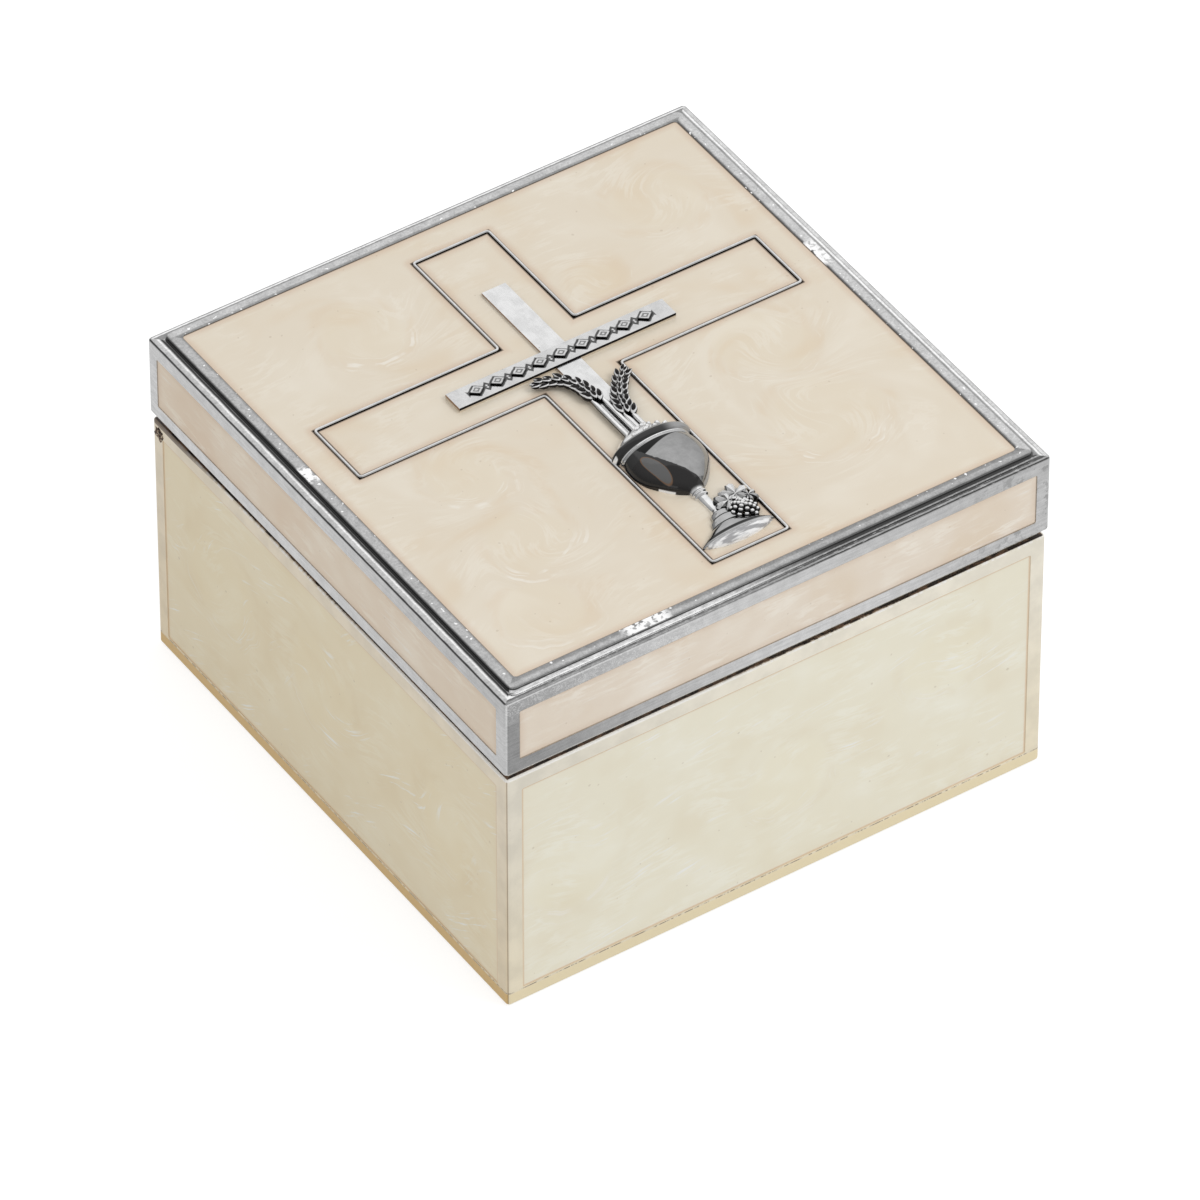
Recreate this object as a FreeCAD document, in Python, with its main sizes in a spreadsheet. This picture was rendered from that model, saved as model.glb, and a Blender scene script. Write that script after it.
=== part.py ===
import FreeCAD, Part
import math
import os

import Sketcher

# A square keepsake box of cast metal with enamel panels and a hinged lid.
# Millimetres. The origin is the middle of the underside, +Z is up, the front faces -Y
# and the hinge runs along X at the back.

SIZES = {
    # Outside of the lid and the base
    "box_width": 90.0,
    "box_depth": 90.0,
    "base_height": 42.4,
    "base_inset": 0.28,
    "corner_radius": 0.6,
    "edge_radius": 0.35,
    # Cast base
    "base_wall": 2.4,
    "base_floor": 2.0,
    "base_border": 2.5,
    "base_border_low": 2.4,
    # Cast lid, from its lower edge to the rim round the enamel
    "lid_gap": 1.2,
    "lid_skirt": 13.4,
    "lid_wall": 2.4,
    "lid_plate": 1.4,
    "lid_border": 2.3,
    "rim_setback": 1.87,
    "rim_end_setback": 1.45,
    "rim_rise": 0.8,
    "rim_width": 1.7,
    "rim_corner": 1.0,
    # Enamel in the sides and on the top
    "panel_corner": 0.3,
    "panel_depth": 0.8,
    "panel_shy": 0.1,
    "field_depth": 0.9,
    "field_shy": 0.08,
    "field_corner": 0.8,
    # Lip of the base that the lid sits down over
    "lip_overlap": 1.8,
    "lip_clearance": 0.3,
    "lip_seat": 0.05,
    "lip_stop": 6.0,
    "skirt_land": 1.4,
    # Hinge
    "hinge_inset": 1.75,
    "hinge_drop": 2.0,
    "pin_diameter": 2.0,
    "pin_play": 0.05,
    "barrel_diameter": 3.4,
    "barrel_play": 0.4,
    "knuckle_play": 0.2,
    "web_root": 1.0,
    # Linings and felt
    "lining_thickness": 1.4,
    "lining_drop": 1.0,
    "lining_play": 0.1,
    "floor_pad_thickness": 2.2,
    "lid_lining_thickness": 1.2,
    "felt_thickness": 1.0,
    "felt_proud": 0.3,
    "felt_margin": 4.0,
    # Wire that draws the cross on the lid
    "wire_width": 0.58,
    "wire_proud": 0.3,
    "cross_width": 13.0,
    "cross_side_margin": 4.5,
    "cross_top_margin": 4.82,
    "cross_foot_margin": 4.02,
    "arm_width": 12.0,
    "arm_centre": 9.3,
    # Flat inner cross with its band of lozenges
    "upright_width": 3.94,
    "upright_gap": 11.1,
    "upright_thickness": 0.45,
    "bar_length": 36.0,
    "bar_width": 3.55,
    "bar_centre": 8.93,
    "bar_thickness": 0.75,
    "lozenge_length": 2.5,
    "lozenge_width": 1.9,
    "lozenge_height": 0.25,
    "band_length": 28.0,
    # Chalice, from its dome down to the foot
    "dome_height": 3.4,
    "cup_lip_width": 12.7,
    "cup_lip_band": 0.7,
    "bowl_width": 11.74,
    "bowl_depth": 11.7,
    "stem_width": 1.8,
    "stem_length": 5.6,
    "knop_height": 0.9,
    "foot_width": 11.7,
    "foot_length": 4.4,
    "foot_rim": 0.4,
    "foot_bulge": 1.3,
    "foot_gap": 1.7,
    # Wheat
    "ear_gap": 0.88,
    "grain_length": 2.5,
    "grain_width": 1.25,
    "grain_height": 1.1,
    "straw_width": 0.6,
    "straw_side": 1.2,
    # Grapes and leaves
    "grape_diameter": 1.5,
    "cluster_width": 4.6,
    "cluster_side": 2.9,
    "cluster_rise": 3.3,
    "leaf_length": 3.0,
    "leaf_width": 1.8,
    "leaf_height": 0.9,
    # Extra length of a tool that has to cut right through
    "overrun": 2.0,
}
LOZENGE_COUNT = 9

RIM_COVE_SHARE = 0.6
RIM_ROUND_SHARE = 0.25
RELIEF_SHARE = 0.52
HALF_TURN_DEGREES = 180
THIRD_TURN_DEGREES = 120
QUARTER_TURN_DEGREES = 90

# Edges and faces nearer than this count as being in one place
SAME = 1e-4

doc = FreeCAD.newDocument("keepsake_box")
sheet = doc.addObject("Spreadsheet::Sheet", "sizes")
for row, (alias, value) in enumerate(SIZES.items(), start=1):
    sheet.set(f"A{row}", alias)
    sheet.set(f"B{row}", str(value))
    sheet.setAlias(f"B{row}", alias)
doc.recompute()


class Size:
    """A length of the box: the expression that binds it to the sheet, and its present value."""

    def __init__(self, text, value):
        self.text = text
        self.value = value

    def __add__(self, other):
        return Size(f"{self.text} + {other.text}", self.value + other.value)

    def __sub__(self, other):
        return Size(f"{self.text} - ({other.text})", self.value - other.value)

    def __neg__(self):
        return Size(f"-({self.text})", -self.value)

    def __mul__(self, share):
        return Size(f"{share} * ({self.text})", share * self.value)

    __rmul__ = __mul__

    def __truediv__(self, parts):
        return Size(f"({self.text}) / {parts}", self.value / parts)


def size(alias):
    return Size(f"sizes.{alias}", float(sheet.get(alias)))


ZERO = Size("0", 0.0)


def bind(item, **properties):
    for name, length in properties.items():
        item.setExpression(name, length.text)


def move(item, x=ZERO, y=ZERO, z=ZERO, turn=0):
    """Places an item at x, y, z, turned about +Z."""
    item.Placement = FreeCAD.Placement(
        FreeCAD.Vector(x.value, y.value, z.value), FreeCAD.Rotation(FreeCAD.Vector(0, 0, 1), turn)
    )
    for axis, length in (("x", x), ("y", y), ("z", z)):
        item.setExpression(f"Placement.Base.{axis}", length.text)


def new_body(name):
    body = doc.addObject("PartDesign::Body", name)
    body.Label = name
    return body


def new_sketch(body, name, role, offset=ZERO):
    """A sketch on one of the body's own planes, moved along that plane's normal."""
    sketch = body.newObject("Sketcher::SketchObject", name)
    planes = {feature.Role: feature for feature in body.Origin.OriginFeatures}
    sketch.AttachmentSupport = (planes[role], [""])
    sketch.MapMode = "FlatFace"
    sketch.setExpression("AttachmentOffset.Base.z", offset.text)
    return sketch


def pin_point(sketch, index, end, x, y):
    """Ties an end (1 or 2) or the centre (3) of a curve to a point measured from the sketch's origin."""
    for kind, length, axis in (("DistanceX", x, -2), ("DistanceY", y, -1)):
        if length.value == 0:
            sketch.addConstraint(Sketcher.Constraint("PointOnObject", index, end, axis))
            continue
        points = (-1, 1, index, end) if length.value > 0 else (index, end, -1, 1)
        datum = length if length.value > 0 else -length
        number = sketch.addConstraint(Sketcher.Constraint(kind, *points, datum.value))
        sketch.setExpression(f"Constraints[{number}]", datum.text)


def set_radius(sketch, index, radius):
    number = sketch.addConstraint(Sketcher.Constraint("Radius", index, radius.value))
    sketch.setExpression(f"Constraints[{number}]", radius.text)


def arc_between(start, end, radius):
    """An arc of under a half circle, drawn anticlockwise. It bulges to the right of the way from
    start to end where radius is above zero, and to the left where it is below."""
    chord = end - start
    left = FreeCAD.Vector(-chord.y, chord.x, 0) / chord.Length
    reach = math.sqrt(radius**2 - (chord.Length / 2) ** 2)
    centre = (start + end) * 0.5 + left * math.copysign(reach, radius)
    ends = (start, end) if radius > 0 else (end, start)
    angles = [math.atan2(point.y - centre.y, point.x - centre.x) for point in ends]
    return Part.ArcOfCircle(Part.Circle(centre, FreeCAD.Vector(0, 0, 1), abs(radius)), *angles)


OTHER_END = {1: 2, 2: 1}


def draw(sketch, corners):
    """A closed outline. A corner is x, y and, where an arc leads on from it, the arc's radius:
    above zero it bulges to the right of the way, below zero to the left."""
    first = sketch.GeometryCount
    points = [FreeCAD.Vector(corner[0].value, corner[1].value, 0) for corner in corners]
    starts = []
    for index, corner in enumerate(corners):
        start = points[index]
        end = points[(index + 1) % len(points)]
        if len(corner) == 2:
            sketch.addGeometry(Part.LineSegment(start, end))
            starts.append(1)
        else:
            sketch.addGeometry(arc_between(start, end, corner[2].value))
            starts.append(1 if corner[2].value > 0 else 2)
    for index, corner in enumerate(corners):
        curve = first + index
        follower = (index + 1) % len(corners)
        joint = (curve, OTHER_END[starts[index]], first + follower, starts[follower])
        sketch.addConstraint(Sketcher.Constraint("Coincident", *joint))
        pin_point(sketch, curve, starts[index], corner[0], corner[1])
        if len(corner) == 3:
            set_radius(sketch, curve, corner[2] if corner[2].value > 0 else -corner[2])


def draw_circle(sketch, x, y, radius):
    centre = FreeCAD.Vector(x.value, y.value, 0)
    index = sketch.addGeometry(Part.Circle(centre, FreeCAD.Vector(0, 0, 1), radius.value))
    pin_point(sketch, index, 3, x, y)
    set_radius(sketch, index, radius)


def rectangle(x, y):
    """Corners of a rectangle from its two ranges."""
    return [(x[0], y[0]), (x[1], y[0]), (x[1], y[1]), (x[0], y[1])]


def rounded(x, y, radius):
    """Corners of a rectangle with round corners from its two ranges."""
    return [
        (x[0] + radius, y[0]),
        (x[1] - radius, y[0], radius),
        (x[1], y[0] + radius),
        (x[1], y[1] - radius, radius),
        (x[1] - radius, y[1]),
        (x[0] + radius, y[1], radius),
        (x[0], y[1] - radius),
        (x[0], y[0] + radius, radius),
    ]


def both_ways(half):
    return (-half, half)


def pad(body, sketch, length):
    feature = body.newObject("PartDesign::Pad", sketch.Name + "_pad")
    feature.Profile = sketch
    bind(feature, Length=length)
    return feature


def pocket(body, sketch, length):
    """Cuts from the sketch against its plane's normal, and has to take material away."""
    doc.recompute()
    before = body.Shape.Volume
    feature = body.newObject("PartDesign::Pocket", sketch.Name + "_pocket")
    feature.Profile = sketch
    bind(feature, Length=length)
    doc.recompute()
    if not body.Shape.Volume < before:
        raise RuntimeError(f"{feature.Name} cuts nothing")
    return feature


def round_edges(body, name, feature, choose, radius):
    """Rounds the edges of a feature for which choose(box of the edge) is true."""
    doc.recompute()
    names = [f"Edge{n}" for n, edge in enumerate(feature.Shape.Edges, start=1) if choose(edge.BoundBox)]
    fillet = body.newObject("PartDesign::Fillet", name)
    fillet.Base = (feature, names)
    bind(fillet, Radius=radius)
    return fillet


def is_upright(box):
    return box.ZLength > SAME and box.XLength < SAME and box.YLength < SAME


def is_level(box, *heights):
    return box.ZLength < SAME and any(abs(box.ZMin - height.value) < SAME for height in heights)


def fuse(name, items):
    joined = doc.addObject("Part::MultiFuse", name)
    joined.Shapes = items
    return joined


def trim(name, base, tools):
    """The base without the room that the tools take."""
    for number, tool in enumerate(tools, start=1):
        cut = doc.addObject("Part::Cut", f"{name}_trim_{number}")
        cut.Base = base
        cut.Tool = tool
        base = cut
    base.Label = name
    return base


# Levels and reaches that more than one piece shares
lid_x = size("box_width") / 2
lid_y = size("box_depth") / 2
base_x = lid_x - size("base_inset")
base_y = lid_y - size("base_inset")
base_inner_x = base_x - size("base_wall")
base_inner_y = base_y - size("base_wall")
lid_inner_x = lid_x - size("lid_wall")
lid_inner_y = lid_y - size("lid_wall")
base_bottom = size("felt_proud")
base_floor_top = base_bottom + size("base_floor")
base_top = base_bottom + size("base_height")
lid_bottom = base_top + size("lid_gap")
ledge = lid_bottom + size("lid_skirt")
rim_top = ledge + size("rim_rise")
field_floor = rim_top - size("field_depth")
field_top = rim_top - size("field_shy")
lid_ceiling = field_floor - size("lid_plate")
rim_x = lid_x - size("rim_setback")
rim_y = lid_y - size("rim_end_setback")
field_x = rim_x - size("rim_width")
field_y = rim_y - size("rim_width")

# Lip and the shoulder in the lid that comes down on it
shoulder = lid_bottom + size("lip_overlap")
lip_top = shoulder - size("lip_seat")
rabbet_x = lid_x - size("skirt_land")
rabbet_y = lid_y - size("skirt_land")
lip_x = rabbet_x - size("lip_clearance")
lip_y = rabbet_y - size("lip_clearance")

# Hinge line and the room that the barrel turns in
pivot_y = base_y - size("hinge_inset")
pivot_z = base_top - size("hinge_drop")
pin_radius = size("pin_diameter") / 2
barrel_radius = size("barrel_diameter") / 2
notch_bottom = pivot_z - barrel_radius - size("barrel_play")
knuckle_x = base_inner_x - size("knuckle_play")

# Ranges of the sunk panels, as (along the side, up)
base_panel_z = (base_bottom + size("base_border_low"), base_top - size("base_border"))
base_panel_back_z = (base_panel_z[0], notch_bottom - size("base_border"))
lid_panel_z = (lid_bottom + size("lid_border"), ledge - size("lid_border"))
BASE_PANELS = {
    "front": (both_ways(base_x - size("base_border")), base_panel_z),
    "back": (both_ways(base_x - size("base_border")), base_panel_back_z),
    "left": (both_ways(base_y - size("base_border")), base_panel_z),
    "right": (both_ways(base_y - size("base_border")), base_panel_z),
}
LID_PANELS = {
    "front": (both_ways(lid_x - size("lid_border")), lid_panel_z),
    "back": (both_ways(lid_x - size("lid_border")), lid_panel_z),
    "left": (both_ways(lid_y - size("lid_border")), lid_panel_z),
    "right": (both_ways(lid_y - size("lid_border")), lid_panel_z),
}


def cast_block(body, name, x, y, z):
    """A block with round corners and eased edges above and below."""
    sketch = new_sketch(body, name, "XY_Plane", z[0])
    draw(sketch, rectangle(x, y))
    block = pad(body, sketch, z[1] - z[0])
    corners = round_edges(body, name + "_corners", block, is_upright, size("corner_radius"))
    return round_edges(body, name + "_edges", corners, lambda box: is_level(box, *z), size("edge_radius"))


def sink_panels(body, name, panels, reach_x, reach_y):
    """Sinks a panel into each of the four sides, from the outside in."""
    depth = size("panel_depth")
    through = depth + size("overrun")
    starts = {
        "front": ("XZ_Plane", reach_y + size("overrun")),
        "back": ("XZ_Plane", depth - reach_y),
        "left": ("YZ_Plane", depth - reach_x),
        "right": ("YZ_Plane", reach_x + size("overrun")),
    }
    for side, (role, offset) in starts.items():
        sketch = new_sketch(body, f"{name}_{side}", role, offset)
        draw(sketch, rounded(*panels[side], size("panel_corner")))
        pocket(body, sketch, through)


def cut_bore(body, name, radius):
    """Bores along the hinge line."""
    sketch = new_sketch(body, name, "YZ_Plane", lid_x)
    draw_circle(sketch, pivot_y, pivot_z, radius)
    pocket(body, sketch, size("box_width"))


def make_base_shell():
    body = new_body("base_shell")
    cast_block(body, "base_block", both_ways(base_x), both_ways(base_y), (base_bottom, base_top))
    lip = new_sketch(body, "base_lip", "XY_Plane", base_top)
    draw(lip, rectangle(both_ways(lip_x), (-lip_y, base_y - size("lip_stop"))))
    pad(body, lip, lip_top - base_top)
    hollow = new_sketch(body, "base_hollow", "XY_Plane", lip_top)
    draw(hollow, rectangle(both_ways(base_inner_x), both_ways(base_inner_y)))
    pocket(body, hollow, lip_top - base_floor_top)
    notch = new_sketch(body, "base_notch", "XY_Plane", base_top)
    notch_y = (base_inner_y - size("overrun"), base_y + size("overrun"))
    draw(notch, rectangle(both_ways(base_inner_x), notch_y))
    pocket(body, notch, base_top - notch_bottom)
    sink_panels(body, "base_panel", BASE_PANELS, base_x, base_y)
    cut_bore(body, "base_bore", pin_radius)
    felt_depth = size("felt_thickness") - size("felt_proud")
    felt = new_sketch(body, "base_felt_seat", "XY_Plane", base_bottom + felt_depth)
    draw(felt, rectangle(both_ways(base_x - size("felt_margin")), both_ways(base_y - size("felt_margin"))))
    pocket(body, felt, felt_depth + size("overrun"))
    return body


def make_lid_shell():
    body = new_body("lid_shell")
    cast_block(body, "lid_block", both_ways(lid_x), both_ways(lid_y), (lid_bottom, ledge))
    rim = new_sketch(body, "lid_rim", "XY_Plane", ledge)
    draw(rim, rounded(both_ways(rim_x), both_ways(rim_y), size("rim_corner")))
    step = pad(body, rim, size("rim_rise"))
    reach = rim_x.value + SAME

    def in_cove(box):
        return is_level(box, ledge) and max(abs(box.XMin), abs(box.XMax)) < reach

    cove = round_edges(body, "lid_rim_cove", step, in_cove, size("rim_rise") * RIM_COVE_SHARE)
    round_edges(
        body,
        "lid_rim_round",
        cove,
        lambda box: is_level(box, rim_top),
        size("rim_rise") * RIM_ROUND_SHARE,
    )
    field = new_sketch(body, "lid_field", "XY_Plane", rim_top)
    draw(field, rounded(both_ways(field_x), both_ways(field_y), size("field_corner")))
    pocket(body, field, size("field_depth"))
    hollow = new_sketch(body, "lid_hollow", "XY_Plane", lid_ceiling)
    draw(hollow, rectangle(both_ways(lid_inner_x), both_ways(lid_inner_y)))
    pocket(body, hollow, lid_ceiling - lid_bottom)
    rabbet = new_sketch(body, "lid_rabbet", "XY_Plane", shoulder)
    draw(rabbet, rectangle(both_ways(rabbet_x), (-rabbet_y, lid_inner_y)))
    pocket(body, rabbet, size("lip_overlap"))
    sink_panels(body, "lid_panel", LID_PANELS, lid_x, lid_y)
    web = new_sketch(body, "lid_web", "YZ_Plane", -knuckle_x)
    web_y = (pivot_y - barrel_radius, pivot_y + barrel_radius)
    draw(web, rectangle(web_y, (pivot_z, lid_bottom + size("web_root"))))
    pad(body, web, knuckle_x * 2)
    barrel = new_sketch(body, "lid_barrel", "YZ_Plane", -knuckle_x)
    draw_circle(barrel, pivot_y, pivot_z, barrel_radius)
    pad(body, barrel, knuckle_x * 2)
    cut_bore(body, "lid_bore", pin_radius + size("pin_play"))
    return body


def make_hinge_pin():
    body = new_body("hinge_pin")
    sketch = new_sketch(body, "pin_round", "YZ_Plane", -base_x)
    draw_circle(sketch, pivot_y, pivot_z, pin_radius)
    pad(body, sketch, base_x * 2)
    return body


def make_plate(name, role, offset, corners, thickness):
    """A flat piece that stands on one plane and grows along its normal."""
    body = new_body(name)
    sketch = new_sketch(body, name + "_outline", role, offset)
    for outline in corners:
        draw(sketch, outline)
    pad(body, sketch, thickness)
    return body


def make_side_enamel(name, panels, reach_x, reach_y):
    """Enamel poured into the four side panels, a little shy of the border."""
    depth = size("panel_depth")
    shy = size("panel_shy")
    starts = {
        "front": ("XZ_Plane", reach_y - depth),
        "back": ("XZ_Plane", shy - reach_y),
        "left": ("YZ_Plane", shy - reach_x),
        "right": ("YZ_Plane", reach_x - depth),
    }
    return [
        make_plate(f"{name}_{side}", *start, [rounded(*panels[side], size("panel_corner"))], depth - shy)
        for side, start in starts.items()
    ]


def make_linings():
    """Velvet on card in the base and under the lid, and the felt under the base."""
    thickness = size("lining_thickness")
    pad_thickness = size("floor_pad_thickness")
    lid_thickness = size("lid_lining_thickness")
    pad_top = base_floor_top + pad_thickness
    pad_outline = rectangle(
        both_ways(base_inner_x - size("lining_play")), both_ways(base_inner_y - size("lining_play"))
    )
    lid_outline = rectangle(
        both_ways(lid_inner_x - size("lining_play")), both_ways(lid_inner_y - size("lining_play"))
    )
    felt_outline = rectangle(
        both_ways(base_x - size("felt_margin")), both_ways(base_y - size("felt_margin"))
    )
    side_z = (pad_top, base_top - size("lining_drop"))
    back_z = (pad_top, notch_bottom - size("lining_drop"))
    side_y = (-base_inner_y, pivot_y - barrel_radius - size("barrel_play"))
    between = both_ways(base_inner_x - thickness)
    near_y = base_inner_y - thickness
    near_x = base_inner_x - thickness
    plates = {
        "floor_pad": ("XY_Plane", base_floor_top, pad_outline, pad_thickness),
        "wall_lining_front": ("XZ_Plane", near_y, rectangle(between, side_z), thickness),
        "wall_lining_back": ("XZ_Plane", -base_inner_y, rectangle(between, back_z), thickness),
        "wall_lining_left": ("YZ_Plane", -base_inner_x, rectangle(side_y, side_z), thickness),
        "wall_lining_right": ("YZ_Plane", near_x, rectangle(side_y, side_z), thickness),
        "lid_lining": ("XY_Plane", lid_ceiling - lid_thickness, lid_outline, lid_thickness),
        "felt_pad": ("XY_Plane", ZERO, felt_outline, size("felt_thickness")),
    }
    return [
        make_plate(name, role, offset, [outline], depth)
        for name, (role, offset, outline, depth) in plates.items()
    ]


# Cross on the lid
cross_half = size("cross_width") / 2
cross_top = field_y - size("cross_top_margin")
cross_foot = size("cross_foot_margin") - field_y
cross_span = field_x - size("cross_side_margin")
arm_high = size("arm_centre") + size("arm_width") / 2
arm_low = size("arm_centre") - size("arm_width") / 2


def cross_corners(inset):
    """Corners of the cross, all of its sides moved in by inset."""
    half = cross_half - inset
    span = cross_span - inset
    top = cross_top - inset
    foot = cross_foot + inset
    high = arm_high - inset
    low = arm_low + inset
    right = [(half, foot), (half, low), (span, low), (span, high), (half, high), (half, top)]
    return right + [(-x, y) for x, y in reversed(right)]


# Places of the pieces in relief, from the foot of the cross upwards
foot_line = cross_foot + size("foot_gap") + size("foot_bulge")
cup_rim = foot_line + size("foot_length") + size("stem_length") + size("bowl_depth")
bar_low = size("bar_centre") - size("bar_width") / 2
bar_high = size("bar_centre") + size("bar_width") / 2

CUP_SHOULDER_SHARE = 0.945
CUP_BELLY_SHARE = 0.42
CUP_BELLY_ROUND_SHARE = 0.82
DOME_ROUND_SHARE = 1.05
KNOP_ROUND_SHARE = 0.54
FOOT_NECK_SHARE = 0.27
FOOT_FLARE_SHARE = 2.2
FOOT_SOLE_SHARE = 2.36


def make_chalice():
    """Half of a turned cup on a domed foot, pressed flat to a relief."""
    lip = size("cup_lip_width") / 2
    bowl = size("bowl_width") / 2
    stem = size("stem_width") / 2
    foot = size("foot_width") / 2
    neck = foot * FOOT_NECK_SHARE
    shoulder_x = bowl * CUP_SHOULDER_SHARE
    lip_low = -size("cup_lip_band")
    belly = -(size("bowl_depth") * CUP_BELLY_SHARE)
    bowl_low = -size("bowl_depth")
    knop = size("knop_height")
    stem_low = bowl_low - size("stem_length")
    foot_low = stem_low - size("foot_length")
    body = new_body("chalice_turned")
    sketch = new_sketch(body, "chalice_profile", "XY_Plane")
    draw(
        sketch,
        [
            (ZERO, foot_low - size("foot_bulge"), foot * FOOT_SOLE_SHARE),
            (foot, foot_low),
            (foot, foot_low + size("foot_rim"), -(size("foot_length") * FOOT_FLARE_SHARE)),
            (neck, stem_low),
            (stem, stem_low + (neck - stem)),
            (stem, bowl_low - knop * 2, knop * KNOP_ROUND_SHARE),
            (stem, bowl_low - knop, knop * KNOP_ROUND_SHARE),
            (stem, bowl_low, size("bowl_depth") * CUP_BELLY_ROUND_SHARE),
            (bowl, belly),
            (shoulder_x, lip_low),
            (lip, lip_low),
            (lip, ZERO),
            (shoulder_x, ZERO, lip * DOME_ROUND_SHARE),
            (ZERO, size("dome_height")),
        ],
    )
    turned = body.newObject("PartDesign::Revolution", "chalice_turning")
    turned.Profile = sketch
    turned.ReferenceAxis = (sketch, ["V_Axis"])
    turned.Angle = HALF_TURN_DEGREES
    turned.Reversed = True
    chalice = doc.addObject("Part::Scale", "chalice")
    chalice.Base = body
    chalice.Uniform = False
    chalice.ZScale = RELIEF_SHARE
    move(chalice, ZERO, cup_rim, field_top)
    return chalice


def half_ellipsoid(name, length, width, height, x, y, turn):
    """Half of an ellipsoid that lies on the enamel, flat side down and its poles at its ends."""
    dome = doc.addObject("Part::Ellipsoid", name)
    dome.Angle3 = HALF_TURN_DEGREES
    bind(dome, Radius1=length / 2, Radius2=width / 2, Radius3=height)
    move(dome, x, y, field_top, turn)
    lying = FreeCAD.Rotation(FreeCAD.Vector(1, 1, 1), THIRD_TURN_DEGREES)
    dome.Placement.Rotation = dome.Placement.Rotation.multiply(lying)
    return dome


def make_room(name, outline, height):
    """A tool for the room that a flat piece takes on the enamel, which reaches well below it."""
    floor = field_top - size("overrun")
    return make_plate(name, "XY_Plane", floor, [outline], height + size("overrun"))


def make_upright(chalice):
    outline = rectangle(both_ways(size("upright_width") / 2), (cup_rim, cross_top - size("upright_gap")))
    thickness = size("upright_thickness")
    body = make_plate("upright_blank", "XY_Plane", field_top, [outline], thickness)
    return make_room("upright_room", outline, thickness), trim("cross_upright", body, [chalice])


def make_bar(upright_room):
    """The bar laps over the upright and carries a band of lozenges."""
    outline = rectangle(both_ways(size("bar_length") / 2), (bar_low, bar_high))
    thickness = size("bar_thickness")
    bar_top = field_top + thickness
    body = make_plate("bar_blank", "XY_Plane", field_top, [outline], thickness)
    first = -(size("band_length") / 2)
    long = size("lozenge_length") / 2
    wide = size("lozenge_width") / 2
    middle = size("bar_centre")
    sketch = new_sketch(body, "lozenge", "XY_Plane", bar_top)
    ends = [(first - long, middle), (first + long, middle)]
    tips = [(first, middle - wide), (first, middle + wide)]
    draw(sketch, [ends[0], tips[0], ends[1], tips[1]])
    lozenge = pad(body, sketch, size("lozenge_height"))
    band = body.newObject("PartDesign::LinearPattern", "lozenge_band")
    band.Originals = [lozenge]
    band.Direction = (sketch, ["H_Axis"])
    bind(band, Length=size("band_length"))
    band.Occurrences = LOZENGE_COUNT
    body.Tip = band
    return make_room("bar_room", outline, thickness), trim("cross_bar", body, [upright_room])


EAR_START_SHARES = {"left": 0.55, "right": 0.29}
EAR_TAPER_SHARE = 0.3
GRAIN_PITCH_SHARE = 0.68
GRAIN_SPREAD_SHARE = 0.42
GRAIN_TIP_SHARE = 0.2
GRAIN_FALL_SHARE = 0.6
STRAW_LIFT_SHARE = 0.6
# An ear's first lean from +Y towards its side, its bend, and its grains' splay
EAR_LEAN_DEGREES = {"left": -8, "right": -6}
EAR_BEND_DEGREES = {"left": 95, "right": 74}
GRAIN_SPLAY_DEGREES = 24


def ear_arc(side, share):
    """How far out and up an ear has come at a share of its length, for a length of 1, and its heading."""
    lean = math.radians(EAR_LEAN_DEGREES[side])
    turn = math.radians(EAR_BEND_DEGREES[side])
    heading = lean + turn * share
    out = (math.cos(lean) - math.cos(heading)) / turn
    up = (math.sin(heading) - math.sin(lean)) / turn
    return out, up, heading


# The left ear stops short of the bar, and the right ear is as long
ear_room = bar_low - cup_rim
ear_rise = ear_room * (1 - EAR_START_SHARES["left"]) - size("ear_gap") - size("grain_length") / 2
ear_length = ear_rise / ear_arc("left", 1)[1]
ear_rows = round(ear_length.value / (size("grain_length") * GRAIN_PITCH_SHARE).value)


def make_ear(side):
    """An ear of wheat that bends outwards: pairs of grains along an arc, over a straw."""
    name = f"wheat_ear_{side}"
    sign = -1 if side == "left" else 1
    reach = size("grain_length") / 2
    butt = size("grain_width") / 2
    height = size("grain_height")
    root_x = size("straw_side") * sign
    root_y = cup_rim + ear_room * EAR_START_SHARES[side]

    def grain(label, share, flank):
        out, up, heading = ear_arc(side, share)
        aside = flank * GRAIN_SPREAD_SHARE * (1 - EAR_TAPER_SHARE * share)
        way = heading + math.radians(GRAIN_SPLAY_DEGREES) * flank
        x = root_x + (ear_length * out + size("grain_width") * (aside * math.cos(heading))) * sign
        y = root_y + ear_length * up - size("grain_width") * (aside * math.sin(heading))
        husk = doc.addObject("Part::Wedge", label)
        bind(husk, Xmin=-butt, Xmax=butt, X2min=-butt * GRAIN_TIP_SHARE, X2max=butt * GRAIN_TIP_SHARE)
        bind(husk, Ymin=-reach, Ymax=reach)
        bind(husk, Zmin=ZERO, Zmax=height, Z2min=ZERO, Z2max=height * GRAIN_FALL_SHARE)
        move(husk, x, y, field_top, -sign * math.degrees(way))
        return husk

    grains = [grain(f"{name}_tip", 1, 0)]
    for row in range(ear_rows):
        share = row / ear_rows
        grains.append(grain(f"{name}_inner_{row}", share, -1))
        grains.append(grain(f"{name}_outer_{row}", share, 1))
    straw = doc.addObject("Part::Cylinder", name + "_straw")
    straw_radius = size("straw_width") / 2
    bind(straw, Radius=straw_radius, Height=root_y - cup_rim)
    move(straw, root_x, cup_rim, field_top + size("upright_thickness") + straw_radius * STRAW_LIFT_SHARE)
    lying = FreeCAD.Rotation(FreeCAD.Vector(1, 0, 0), -QUARTER_TURN_DEGREES)
    seam_down = FreeCAD.Rotation(FreeCAD.Vector(0, 0, 1), QUARTER_TURN_DEGREES)
    straw.Placement.Rotation = lying.multiply(seam_down)
    return fuse(name + "_whole", grains + [straw])


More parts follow.
